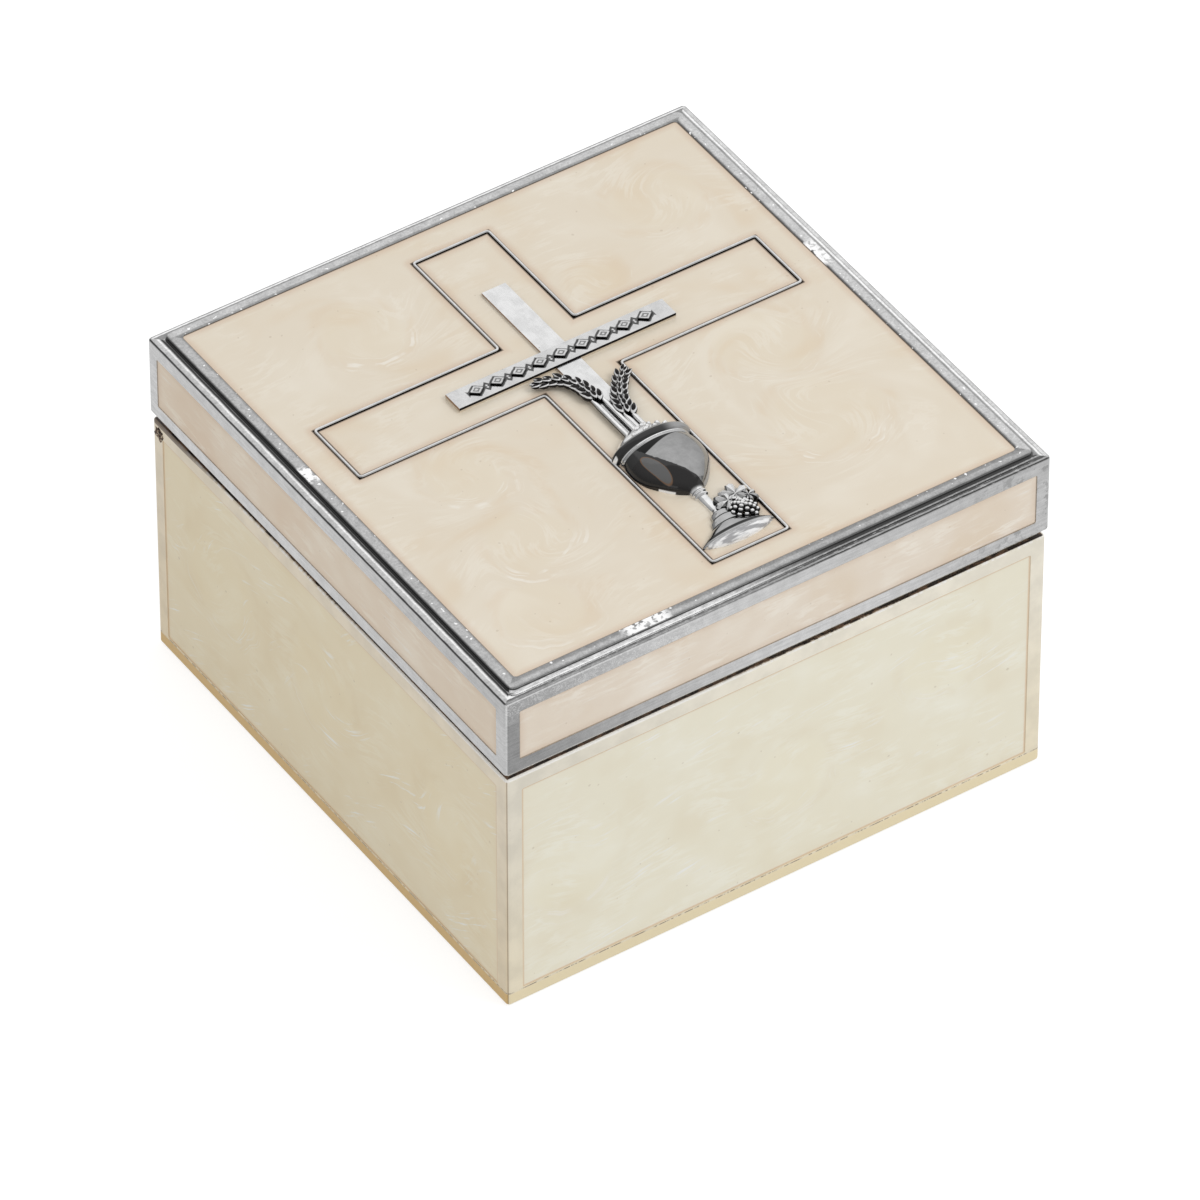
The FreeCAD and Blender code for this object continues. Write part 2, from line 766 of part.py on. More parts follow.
CLUSTER_COUNTS = (7, 4, 1)
CLUSTER_RING_SHARES = (0.68, 0.34, 0.0)
CLUSTER_LIFT_SHARES = (0.0, 0.55, 0.9)


def make_grapes():
    """Layers of round grapes, each a ring, flat where they meet the enamel."""
    radius = size("grape_diameter") / 2
    reach = size("cluster_width") / 2
    grapes = []
    layers = zip(CLUSTER_COUNTS, CLUSTER_RING_SHARES, CLUSTER_LIFT_SHARES)
    for count, ring_share, lift_share in layers:
        for index in range(count):
            angle = 2 * math.pi * index / count
            grape = doc.addObject("Part::Sphere", f"grape_{count}_{index}")
            grape.Angle1 = -math.degrees(math.asin(lift_share))
            bind(grape, Radius=radius)
            x = size("cluster_side") + reach * (ring_share * math.cos(angle))
            y = foot_line + size("cluster_rise") + reach * (ring_share * math.sin(angle))
            move(grape, x, y, field_top + radius * lift_share)
            grapes.append(grape)
    return fuse("grapes_whole", grapes)


LEAF_DEGREES = (50, 90, 130)
LEAF_REACH_SHARE = 1.25


def make_leaves():
    """Three leaves that fan out above the grapes."""
    reach = size("cluster_width") / 2
    leaves = []
    for direction in LEAF_DEGREES:
        angle = math.radians(direction)
        x = size("cluster_side") + reach * (LEAF_REACH_SHARE * math.cos(angle))
        y = foot_line + size("cluster_rise") + reach * (LEAF_REACH_SHARE * math.sin(angle))
        leaf = (size("leaf_length"), size("leaf_width"), size("leaf_height"))
        leaves.append(half_ellipsoid(f"leaf_{direction}", *leaf, x, y, direction))
    return fuse("leaves_whole", leaves)


def make_emblem():
    field_outline = rounded(both_ways(field_x), both_ways(field_y), size("field_corner"))
    enamel = field_top - field_floor
    wire = size("wire_width")
    field = make_plate(
        "lid_enamel_field", "XY_Plane", field_floor, [field_outline, cross_corners(ZERO)], enamel
    )
    inside = make_plate("lid_enamel_cross", "XY_Plane", field_floor, [cross_corners(wire)], enamel)
    outline = make_plate(
        "outline_blank",
        "XY_Plane",
        field_floor,
        [cross_corners(ZERO), cross_corners(wire)],
        enamel + size("wire_proud"),
    )
    chalice = make_chalice()
    upright_room, upright = make_upright(chalice)
    bar_room, bar = make_bar(upright_room)
    left_ear = make_ear("left")
    right_ear = make_ear("right")
    grapes = make_grapes()
    leaves = make_leaves()
    round_ears = [upright_room, bar_room, outline, chalice]
    return [
        field,
        inside,
        chalice,
        upright,
        bar,
        trim("wheat_ear_left", left_ear, round_ears),
        trim("wheat_ear_right", right_ear, round_ears),
        trim("grape_cluster", grapes, [outline, chalice]),
        trim("vine_leaves", leaves, [outline, chalice, grapes]),
        trim("cross_outline", outline, [chalice]),
    ]


nodes = [make_base_shell(), make_lid_shell(), make_hinge_pin()]
nodes += make_side_enamel("base_enamel", BASE_PANELS, base_x, base_y)
nodes += make_side_enamel("lid_enamel", LID_PANELS, lid_x, lid_y)
nodes += make_linings()
nodes += make_emblem()
doc.recompute()

for item in doc.Objects:
    if "Invalid" in item.State or "Error" in item.State:
        raise RuntimeError(f"{item.Label} failed: {item.State}")
for node in nodes:
    if node.Shape.isNull() or not node.Shape.isValid():
        raise RuntimeError(f"{node.Label} has no valid shape")

os.makedirs("parts", exist_ok=True)
for node in nodes:
    node.Shape.exportStep(f"parts/{node.Label}.step")
    print(f"{node.Label}: {len(node.Shape.Solids)} solid, {node.Shape.Volume:.2f} mm3")
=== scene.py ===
import math
import random
from functools import partial, partialmethod, reduce
from operator import mul
from types import SimpleNamespace

import bmesh
import bpy
from mathutils import Matrix, Vector


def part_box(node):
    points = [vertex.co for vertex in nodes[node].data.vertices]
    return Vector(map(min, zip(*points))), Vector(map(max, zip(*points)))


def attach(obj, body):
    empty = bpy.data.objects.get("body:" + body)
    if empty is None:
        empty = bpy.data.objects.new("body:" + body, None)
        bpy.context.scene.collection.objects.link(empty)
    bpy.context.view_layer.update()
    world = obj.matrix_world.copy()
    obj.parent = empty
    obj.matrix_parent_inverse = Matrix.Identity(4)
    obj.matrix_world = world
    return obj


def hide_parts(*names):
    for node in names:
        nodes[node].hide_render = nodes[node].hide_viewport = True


# A keepsake box of plated metal with pearly enamel, a cross of wire and a relief on its lid.
# Shapes are worked out in millimetres in the frame's axes and become metres when a mesh is made.

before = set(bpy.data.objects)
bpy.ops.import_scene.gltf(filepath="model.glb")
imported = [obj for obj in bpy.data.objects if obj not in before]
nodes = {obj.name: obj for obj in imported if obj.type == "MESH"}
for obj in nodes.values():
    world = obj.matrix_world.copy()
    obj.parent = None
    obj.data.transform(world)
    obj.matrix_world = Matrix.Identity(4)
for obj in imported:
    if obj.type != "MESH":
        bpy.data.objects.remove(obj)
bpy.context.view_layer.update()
MM = 0.001


def span(node):
    """Lowest and highest corner of a CAD node, in millimetres."""
    low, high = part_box(node)
    return low / MM, high / MM


# The lid's border below its enamel, and the seam between the lid and the base
SKIRT_BORDER = 2.3
SEAM = 1.2
# How far in the rim stands from the lid's front and back and from its sides, and how high it is
RIM_SETBACK = 1.45
SIDE_SETBACK = 1.87
RIM_RISE = 0.8
# The cross that the wire draws: half the upright's width, the arms' middle and half their width
CROSS_HALF = 6.5
ARM_MIDDLE = 9.3
ARM_HALF = 6
# How far the cross's enamel lies inside the wire's outer edge
WIRE_SEAT = 0.58
# Where the cup's rim lies on the lid
CUP_RIM = -13.13

field_top = span("lid_enamel_cross")[1].z
wire_low, wire_high = span("cross_outline")
field_half = span("lid_enamel_field")[1]
lid_half = span("lid_shell")[1].x
ledge = span("lid_shell")[1].z - RIM_RISE
base_half = span("base_shell")[1].x
base_bottom = span("base_shell")[0].z
base_top = span("lid_enamel_front")[0].z - SKIRT_BORDER - SEAM
strip_top = span("base_enamel_front")[0].z


class Value:
    """What a node gives, to be reckoned with: each operation adds a node."""

    def __init__(self, graph, socket):
        self.graph = graph
        self.socket = socket

    def calc(self, operation, *others):
        return self.graph.calc(operation, self, *others)

    __add__ = partialmethod(calc, "ADD")
    __sub__ = partialmethod(calc, "SUBTRACT")
    __mul__ = partialmethod(calc, "MULTIPLY")
    __truediv__ = partialmethod(calc, "DIVIDE")
    __abs__ = partialmethod(calc, "ABSOLUTE")
    __neg__ = partialmethod(calc, "MULTIPLY", -1)

    def __rsub__(self, other):
        return self.graph.calc("SUBTRACT", other, self)

    def step(self, start, end, low=0, high=1):
        """Goes smoothly from low to high as the value goes up or down from start to end."""
        if end < start:
            start, end, low, high = end, start, high, low
        inputs = {0: self, 1: start, 2: end, 3: low, 4: high}
        return self.graph.add("MapRange", inputs, interpolation_type="SMOOTHSTEP")

    def band(self, a, b, c, d):
        """Rises from 0 at a to 1 at b and falls from 1 at c to 0 at d."""
        return self.step(a, b) * self.step(d, c)

    def coat(self, over, *masks):
        """This colour with another over it, as far as all the masks together let it show."""
        return self.graph.mix(reduce(mul, masks), self, over)

    def split(self):
        """A vector's x, y and z."""
        node = self.graph.add("SeparateXYZ", {0: self}).socket.node
        return [Value(self.graph, output) for output in node.outputs]


class Graph:
    """The nodes of a material or a world. Each call adds a node and gives its value."""

    def __init__(self, owner):
        owner.use_nodes = True
        self.owner = owner
        self.tree = owner.node_tree
        self.tree.nodes.clear()

    def add(self, kind, inputs=(), output=0, **settings):
        node = self.tree.nodes.new("ShaderNode" + kind)
        for name, value in settings.items():
            setattr(node, name, value)
        for key, value in dict(inputs).items():
            if isinstance(value, Value):
                self.tree.links.new(value.socket, node.inputs[key])
            else:
                node.inputs[key].default_value = value
        return Value(self, node.outputs[output]) if node.outputs else None

    def calc(self, operation, *values):
        return self.add("Math", enumerate(values), operation=operation)

    def most(self, *values):
        return reduce(partial(self.calc, "MAXIMUM"), values)

    def least(self, *values):
        return reduce(partial(self.calc, "MINIMUM"), values)

    def blend(self, factor, a, b):
        return self.add("Mix", {0: factor, 2: a, 3: b}, data_type="FLOAT")

    def mix(self, factor, a, b):
        return self.add("Mix", {0: factor, 6: a, 7: b}, output=2, data_type="RGBA")

    def scale(self, colour, factor):
        return self.add("VectorMath", {0: colour, 3: factor}, operation="SCALE")

    def multiply(self, vector, factors):
        """Each axis or channel by a factor of its own."""
        return self.add("VectorMath", {0: vector, 1: factors}, operation="MULTIPLY")

    def length(self, a, b=(0, 0, 0)):
        return self.add("VectorMath", {0: a, 1: b}, output=1, operation="DISTANCE")

    def dot(self, a, b):
        return self.add("VectorMath", {0: a, 1: b}, output=1, operation="DOT_PRODUCT")

    def grey(self, value):
        return self.add("CombineColor", {0: value, 1: value, 2: value})

    def join(self, x=0, y=0, z=0):
        return self.add("CombineXYZ", {0: x, 1: y, 2: z})

    def turn(self, vector, angle, centre=(0, 0, 0)):
        inputs = {"Vector": vector, "Center": centre, "Angle": angle}
        return self.add("VectorRotate", inputs, rotation_type="Z_AXIS")

    def noise(self, at, scale, detail=3, roughness=0.55, distortion=0):
        """Noise over the surface, of one scale or of one for each axis."""
        if isinstance(scale, tuple):
            at, scale = self.multiply(at, scale), 1
        inputs = {"Vector": at, "Scale": scale, "Detail": detail, "Roughness": roughness}
        return self.add("TexNoise", {**inputs, "Distortion": distortion})

    def ramp(self, value, stops):
        """A grey that runs through the stops, each a place and a tone."""
        reach = stops[-1][0]
        tone = self.add("ValToRGB", {0: value / reach})
        bands = tone.socket.node.color_ramp.elements
        for place, _ in stops[1:-1]:
            bands.new(place / reach)
        for band, (place, level) in zip(bands, stops):
            band.position = place / reach
            band.color = grey(level)
        return tone

    def place(self):
        """The point of the surface in the frame's axes, in millimetres."""
        return self.multiply(self.add("TexCoord", output="Object"), (1 / MM, 1 / MM, 1 / MM))

    def facing(self):
        """The surface's own normal, by x, y and z."""
        return self.add("TexCoord", output="Normal").split()

    def bump(self, height, strength, distance):
        return self.add("Bump", {"Height": height, "Strength": strength, "Distance": distance})

    def finish(self, **inputs):
        """Ends a material with its shader and gives the material."""
        named = {key.replace("_", " "): value for key, value in inputs.items()}
        self.add("OutputMaterial", {"Surface": self.add("BsdfPrincipled", named)})
        return self.owner


def new_graph(name):
    return Graph(bpy.data.materials.new(name))


def rgb(red, green, blue):
    return (red, green, blue, 1)


def grey(tone):
    return rgb(tone, tone, tone)


WHITE = grey(1)


def box_distance(g, u, v, centre, half):
    """Distance to the edge of a rectangle, below zero inside it."""
    across = abs(u - centre[0]) - half[0]
    along = abs(v - centre[1]) - half[1]
    outside = g.join(g.most(across, 0), g.most(along, 0))
    inside = g.least(g.most(across, along), 0)
    return g.length(outside) + inside


def cross_distance(g, u, v):
    """Distance to the cross's outline, below zero inside it."""
    middle = (wire_low.y + wire_high.y) / 2
    upright = box_distance(g, u, v, (0, middle), (CROSS_HALF, wire_high.y - middle))
    arms = box_distance(g, u, v, (0, ARM_MIDDLE), (wire_high.x, ARM_HALF))
    return g.least(upright, arms)


def stirred(g, flat, whorls):
    """The point before the enamel was stirred round each whorl: centre, reach and turn in radians."""
    for x, y, reach, turn in whorls:
        off = g.length(flat, (x, y, 0)) / reach
        flat = g.turn(flat, g.calc("EXPONENT", -(off * off)) * turn, (x, y, 0))
    return flat


def ring_strokes(g, flat, whorls, wobble):
    """Strokes round the whorls, the pools inside them and the white arcs below them."""
    strokes = pools = arcs = 0
    low = flat.split()[1]
    waver = (wobble - 0.5) * 5
    for x, y, reach, _ in whorls:
        away = g.length(flat, (x, y, 0)) + waver
        off = abs(away - reach)
        strokes = g.most(strokes, off.step(1.6, 0.1))
        pools = g.most(pools, away.step(reach, reach * 0.7))
        hair = g.noise(g.join(away * 1.8, x, y), 1, detail=2)
        below = low.step(y - reach * 0.1, y - reach * 0.7)
        arcs = g.most(arcs, hair.step(0.5, 0.62) * off.step(2.2, 0.6) * below)
    return strokes, pools, arcs


# Where each enamel was stirred: centre, reach and turn in radians
LID_WHORLS = (
    (-20, 28.5, 7, 2.2), (29.5, 29.5, 7.5, -1.4), (-24.5, -4, 6.5, -2), (-24.5, -20, 7, 2.2),
    (-31, -33, 6.5, 1.8), (25, -4, 7.5, 2), (24, -21, 9, -2.2), (13, 20, 4, 1.6),
)
FRONT_WHORLS = ((-34, 21.5, 8.5, 0.6), (2, 19, 7.5, -0.7), (28, 28, 7, 0.5))
LEFT_WHORLS = ((-30, 22, 8, 1), (2, 24, 9, -1.2), (28, 24, 9, 1.1))
# Each enamel's ground, its light veils and its warm streaks
TOP_ENAMEL = (rgb(0.79, 0.705, 0.575), rgb(0.86, 0.8, 0.69), rgb(0.75, 0.61, 0.44))
SKIRT_ENAMEL = (rgb(0.835, 0.735, 0.615), rgb(0.93, 0.87, 0.77), rgb(0.79, 0.66, 0.51))
# The left side's copies of the skirt and base enamels are painted darker and warmer, as painted shade
PAINTED_SHADE_SKIRT = (rgb(0.82, 0.69, 0.54), rgb(0.9, 0.81, 0.67), rgb(0.77, 0.61, 0.45))
BASE_ENAMEL = (rgb(0.885, 0.84, 0.685), rgb(0.95, 0.94, 0.84), rgb(0.83, 0.75, 0.57))
PAINTED_SHADE_BASE = (rgb(0.865, 0.755, 0.53), rgb(0.92, 0.85, 0.66), rgb(0.8, 0.66, 0.42))
# The line where each enamel meets its metal: colour, strength and width
TOP_LINE = (rgb(0.1, 0.07, 0.05), 0.75, 0.2)
SKIRT_LINE = (rgb(0.2, 0.14, 0.08), 0.55, 0.2)
BASE_LINE = (rgb(0.72, 0.5, 0.31), 0.62, 0.4)
POOL_TINT = (1.02, 0.99, 0.88)
ARC_WHITE = rgb(0.93, 0.9, 0.83)
STREAK_WHITE = rgb(0.93, 0.93, 0.9)
EDGE_HALO = rgb(0.62, 0.42, 0.29)


def enamel(name, colours, axes, half, centre, whorls, feather, halo, line, depth=1, tilt=0, cross=0):
    """Pearly poured enamel in a panel. axes picks the panel's two directions, half and centre give its
    rectangle, feather is how strong the fine streaks are and tilt which way they run, halo how strong the
    warm halo is along the metal, line the colour, strength and width of the line at the edge, depth how
    strong the figure is, and cross is 1 outside the wire, -1 inside."""
    ground, light, warm = colours
    g = new_graph(name)
    at = g.place().split()
    u = at[axes[0]]
    v = at[axes[1]]
    flat = g.join(u, v)
    wobble = g.noise(flat, 0.12, detail=2)
    turned = stirred(g, flat, whorls)
    silk = g.noise(turned, (0.09, 0.42, 1), detail=5, roughness=0.6)
    ridge = 1 - abs(silk - 0.5) * 2
    clouds = g.noise(turned, 0.075, detail=2)
    colour = g.mix(clouds.step(0.5, 0.72) * (0.35 * depth), ground, light)
    colour = colour.coat(warm, clouds.step(0.5, 0.3), 0.4 * depth)
    if whorls:
        strokes, pools, arcs = ring_strokes(g, flat, whorls, wobble)
        broken = g.noise(turned, 0.2).step(0.4, 0.62)
        colour = colour.coat(warm, strokes, broken, 0.3 * depth)
        colour = colour.coat(g.multiply(colour, POOL_TINT), pools, 0.16 * depth)
        torn = g.noise(flat, 0.28, detail=2).step(0.44, 0.6)
        colour = colour.coat(ARC_WHITE, arcs, torn, 0.46 * depth)
    colour = colour.coat(light, ridge.step(0.86, 1), wobble.step(0.42, 0.66), 0.42 * depth)
    if feather:
        run = g.turn(turned, -tilt)
        fine = g.noise(run, (0.17, 1.9, 1)).step(0.54, 0.68)
        patch = g.noise(run, (0.09, 0.2, 1), detail=1).step(0.53, 0.66)
        colour = colour.coat(STREAK_WHITE, fine, patch, feather)
    edge = -box_distance(g, u, v, centre, half)
    if cross > 0:
        edge = g.least(edge, cross_distance(g, u, v))
    elif cross < 0:
        edge = -cross_distance(g, u, v) - WIRE_SEAT
    colour = colour.coat(EDGE_HALO, edge.step(1.5, 0), halo * 0.45)
    shadow_patches, strength, width = line
    colour = colour.coat(shadow_patches, edge.step(width, width * 0.4), strength)
    speck = g.noise(flat, 1.3, detail=0).step(0.83, 0.86)
    colour = colour.coat(rgb(0.4, 0.3, 0.2), speck, 0.25)
    normal = g.bump(silk * 0.5 + clouds, 0.12, 0.0004)
    return g.finish(Base_Color=colour, Roughness=0.3, Normal=normal)


def panel(node, axes):
    low, high = span(node)
    centre = tuple((low[a] + high[a]) / 2 for a in axes)
    half = tuple((high[a] - low[a]) / 2 for a in axes)
    return {"axes": axes, "half": half, "centre": centre}


def plated(name, tone, roughness, grain, brushed=(3, 3, 3), blacking_and_reflection=None, shade=None):
    """Silver plate of one tone, with a grain drawn out along the brushing, scratches and pits. Where blacked
    gives two slopes, what is steeper than the first is painted dark, partly blacking in the hollows and
    partly painted dark reflection on the sides, and the plate's tone shows again past the second. shade adds
    a piece's own tones and its painted light."""
    g = new_graph(name)
    at = g.place()
    drawn = g.noise(at, brushed, detail=4, roughness=0.65)
    value = drawn.step(0.3, 0.7, tone * (1 - grain), tone * (1 + grain))
    value *= g.noise(at, 0.5).step(0.35, 0.65, 0.94, 1.06)
    scratch = g.noise(at, (0.6, 5, 5)).step(0.66, 0.74)
    value = g.blend(scratch * 0.3, value, 0.96)
    pits = g.noise(at, 2.4, detail=1).step(0.77, 0.82)
    value = g.blend(pits * 0.6, value, 0.12)
    if blacking_and_reflection:
        value = g.blend(g.facing()[2].step(*blacking_and_reflection), 0.04, value)
    colour = g.grey(value)
    metal = 1
    if shade:
        colour, metal = shade(g, at, colour)
    rough = drawn.step(0.35, 0.7, roughness, roughness + 0.08)
    normal = g.bump(drawn, 0.12 + grain * 0.3, 0.0001)
    return g.finish(Base_Color=colour, Metallic=metal, Roughness=rough, Normal=normal)


# The lozenges along the bar, and half sizes of a lozenge and of a dot between two
LOZENGES = 9
LOZENGE_FIRST = -14
LOZENGE_PITCH = 3.5
LOZENGE_HALF = (1.25, 0.95)
DOT_HALF = (0.8, 0.95)
LOZENGE_END = 15.6
BAR_MIDDLE = 8.93


def lozenge_band(g, at, colour):
    """The bar's blacking round each lozenge, its front side painted black as painted shade, and its left end
    painted brown and the low part of both painted cream as painted reflections of the enamel.
    """
    x, y, z = at.split()
    count = g.calc("ROUND", (x - LOZENGE_FIRST) / LOZENGE_PITCH)
    count = g.least(g.most(count, 0), LOZENGES - 1)
    across = abs(x - (count * LOZENGE_PITCH + LOZENGE_FIRST))
    along = abs(y - BAR_MIDDLE)
    rag = g.noise(at, 1.6) * 0.3 - 0.15
    reach = across / LOZENGE_HALF[0] + along / LOZENGE_HALF[1] + rag
    between = LOZENGE_PITCH / 2 - across
    dot = between / DOT_HALF[0] + along / DOT_HALF[1] + rag
    dark = g.most(reach.band(0.8, 0.92, 1.3, 1.5), dot.band(0.35, 0.5, 0.95, 1.1))
    within = abs(x).step(LOZENGE_END, LOZENGE_END - 0.2)
    colour = colour.coat(grey(0.04), dark, within, 0.9)
    colour = colour.coat(grey(0.1), reach.band(0.2, 0.3, 0.5, 0.62), 0.75)
    # Painted shade on the front side, and painted reflections of the enamel on the left end and the low part
    # of both
    sideways, lengthways, _ = g.facing()
    front = lengthways.step(-0.5, -0.8)
    end = sideways.step(-0.8, -0.95)
    colour = g.mix(front, colour, rgb(0.012, 0.01, 0.01))
    colour = g.mix(end, colour, rgb(0.4, 0.27, 0.19))
    mirrored = g.most(front, end) * z.step(field_top + 0.36, field_top + 0.26)
    return g.mix(mirrored, colour, rgb(0.66, 0.57, 0.45)), 1 - mirrored


def upright_reflected_edge(g, at, colour):
    """The upright's left side is painted brown above the enamel, a painted reflection of the enamel beside
    it.
    """
    left = g.facing()[0].step(-0.7, -0.9)
    high = at.split()[2].step(field_top + 0.1, field_top + 0.2)
    return colour.coat(rgb(0.42, 0.29, 0.21), left, high), 1


# Places on the cup are below its rim. The bowl's painted glint, then the edge of its left side, painted
# black as a painted reflection, as a curve
GLINT = -9.3
BOWL_EDGE = (-3.85, 0.118, 0.0308)
# The grey oval painted in the black as a painted reflection: its middle, its half sizes and how far it leans
OVAL_MIDDLE = (-3.37, -6.5)
OVAL_HALF = (0.85, 2.95)
OVAL_LEAN = 0.18
# The foot's black rings, with their half widths
FOOT_RINGS = ((-17, 0.2), (-18.05, 0.18), (-19.35, 0.16), (-21.25, 0.4))
PAINTED_BLACK = rgb(0.014, 0.013, 0.013)


def bowl_tones(g, x, below, colour):
    """The bowl: dark plate, its steep sides painted dark and its left side painted black as painted
    reflections, a grey oval with a brown ring painted in the black as a painted reflection, a painted shadow
    under the lip and a painted glint.
    Gives the colour and where it is black."""
    across, _, up = g.facing()
    bowl = below.band(-11.6, -11.2, -1.75, -1.6)
    colour = g.mix(bowl, colour, g.scale(colour, 0.4))
    leftward = across.step(0.1, -0.2)
    steep = bowl * g.blend(leftward, up.step(0.4, 0.3), up.step(0.6, 0.5))
    colour = g.mix(steep, colour, g.mix(leftward, grey(0.33), PAINTED_BLACK))
    down = -below
    edge = (down * BOWL_EDGE[2] + BOWL_EDGE[1]) * down + BOWL_EDGE[0]
    ripple = g.noise(g.join(y=below), 1.4) * 0.5 - 0.25
    black = bowl * (x - edge + ripple).step(0.06, -0.06)
    colour = g.mix(black, colour, PAINTED_BLACK)
    lower = below - OVAL_MIDDLE[1]
    aside = lower * OVAL_LEAN + x - OVAL_MIDDLE[0]
    oval = g.length(g.join(aside / OVAL_HALF[0], lower / OVAL_HALF[1]))
    colour = colour.coat(rgb(0.16, 0.09, 0.05), black, oval.step(1.06, 0.98))
    colour = colour.coat(grey(0.115), black, oval.step(0.98, 0.9))
    # A painted shadow under the lip
    shadow = below + x.step(-5, 4.2, 3.6, 1.7)
    colour = colour.coat(grey(0.02), bowl, shadow.step(-0.08, 0.08))
    # A painted glint low on the bowl's left side
    near = abs(below - GLINT).step(1, 0.85)
    colour = colour.coat(WHITE, up.band(0, 0.03, 0.12, 0.2), across.step(-0.1, -0.3), near)
    return colour, g.most(steep, black)


def cup_tones(g, at, colour):
    """The cup: its bowl, a lip painted black in front as a painted reflection with a painted highlight at
    its end, a dull foot with black rings, and a dull sole painted pale with a bright streak, a painted
    reflection."""
    x, y, _ = at.split()
    below = y - CUP_RIM
    colour, black = bowl_tones(g, x, below, colour)
    lip = below.band(-1.05, -0.95, 0.7, 0.85)
    # The lip's painted reflection, black in front and grey to the right, with a painted highlight at its
    # left end
    brow = g.mix(below.step(0.05, 0.25), grey(0.03), grey(0.34))
    brow = g.mix(x.step(1.5, 4), brow, grey(0.34))
    end = abs(below + 0.5).step(0.3, 0.2)
    brow = brow.coat(WHITE, x.step(-5.75, -5.95), end)
    colour = g.mix(lip, colour, brow)
    cord = below.band(-1.7, -1.6, -1.2, -1.1)
    colour = g.mix(cord, colour, g.scale(colour, 0.6))
    foot = below.band(-21.9, -21.7, -17, -16.7)
    colour = g.mix(foot, colour, g.scale(colour, 0.55))
    for ring, half in FOOT_RINGS:
        colour = colour.coat(grey(0.04), abs(below - ring).step(half, half * 0.5), foot)
    # The sole painted pale with a bright streak, a painted reflection
    sole = below.step(-21.8, -22)
    streak = g.noise(at, (0.3, 2.2, 1), detail=2).step(0.45, 0.62)
    colour = g.mix(sole, colour, g.mix(streak, rgb(0.42, 0.42, 0.43), grey(0.98)))
    return colour, 1 - g.most(black, sole * 0.85, lip * 0.6)


def husk_tones(g, at, colour):
    """Blacking fills the groove down each husk's back and the gaps below. The flanks are rubbed bright."""
    rag = g.noise(at, 1.5, detail=2) * 0.16 - 0.08
    up = g.facing()[2] + rag
    dark = g.most(up.step(0.82, 0.9), up.step(0.5, 0.36))
    return g.mix(dark, colour, rgb(0.02, 0.018, 0.018)), g.blend(dark, 0.35, 1)


# Painted reflections across the lid's top, bright and dark bands from its edge inwards: the place and how
# much light it sends back
LEFT_BANDS = (
    (0, 0.5), (0.05, 0.07), (0.2, 0.07), (0.3, 0.5), (0.85, 0.56), (1, 0.88), (1.15, 0.82),
    (1.28, 0.3), (1.4, 0.02), (1.58, 0.02), (1.66, 0.34), (1.78, 0.34), (1.84, 0.03), (1.87, 0.05),
    (2, 0.24), (2.2, 0.46), (3.2, 0.48), (3.45, 0.34), (3.6, 0.28),
)
RIGHT_BANDS = (
    (0, 0.34), (0.18, 0.42), (0.26, 0.64), (0.66, 0.68), (0.74, 0.46), (0.82, 0.5), (0.9, 0.92),
    (1.12, 0.95), (1.2, 0.42), (1.4, 0.32), (1.87, 0.3), (2, 0.5), (2.15, 0.6), (3.05, 0.6),
    (3.25, 0.42), (3.4, 0.15), (3.6, 0.12),
)
BACK_BANDS = (
    (0, 0.3), (0.36, 0.4), (0.42, 0.9), (0.58, 0.92), (0.63, 0.5), (0.68, 0.28), (1.45, 0.28),
    (1.6, 0.44), (1.75, 0.56), (2.6, 0.56), (2.8, 0.36), (3.2, 0.24),
)
NEAR_BANDS = (
    (0, 0.65), (0.12, 0.5), (0.3, 0.3), (0.62, 0.12), (0.74, 0.3), (0.84, 0.9), (1.28, 0.9), (1.4, 0.5),
    (1.5, 0.26), (1.75, 0.41), (2, 0.49), (2.25, 0.5), (2.65, 0.32), (2.9, 0.29), (3.2, 0.26),
)
FAR_BANDS = (
    (0, 0.3), (0.06, 0.08), (0.18, 0.08), (0.3, 0.4), (0.45, 0.38), (0.55, 0.1), (1, 0.12),
    (1.15, 0.4), (1.3, 0.36), (1.4, 0.06), (1.5, 0.1), (1.75, 0.36), (2, 0.44), (2.4, 0.46),
    (2.65, 0.32), (2.9, 0.29), (3.2, 0.26),
)
# Painted reflections and painted shade on the rim's wall from the ledge up: in front at its left and right
# end, and elsewhere
NEAR_WALL = ((0, 0.8), (0.34, 0.76), (0.42, 0.06), (0.58, 0.05), (0.66, 0.2), (0.8, 0.32))
FAR_WALL = ((0, 0.05), (0.5, 0.03), (0.64, 0.05), (0.8, 0.28))
SIDE_WALL = ((0, 0.01), (0.6, 0.012), (0.7, 0.06), (0.8, 0.2))
# Worn patches on the rim: the axis it faces, which end, where along it and half its length
WORN = (("x", -1, 8, 2.2), ("y", -1, -20.5, 4.5), ("x", 1, 7.4, 3.4))


def lid_point(g):
    """A point on the lid: its place, how far in it is, its side, and the noises that the tones share."""
    at = g.place()
    x, y, z = at.split()
    wide = abs(x)
    deep = abs(y)
    inward = lid_half - g.most(wide, deep)
    beside = (wide - deep).step(-0.12, 0.12)
    behind = y.step(-1, 1)
    along = g.blend(beside, x, y)
    waver = g.noise(g.join(along, behind, beside), 0.35, detail=2) * 0.16 - 0.08
    return SimpleNamespace(
        at=at, x=x, y=y, z=z, inward=inward, beside=beside, behind=behind, along=along,
        across=inward + waver,
        in_front=(1 - beside) * (1 - behind),
        rightward=x.step(-14, 12),
        grain=g.noise(at, 2.6, detail=5, roughness=0.72),
        mottle=g.noise(at, 0.6),
        flecks=g.noise(g.join(along * 0.9, inward * 6), 1),
    )


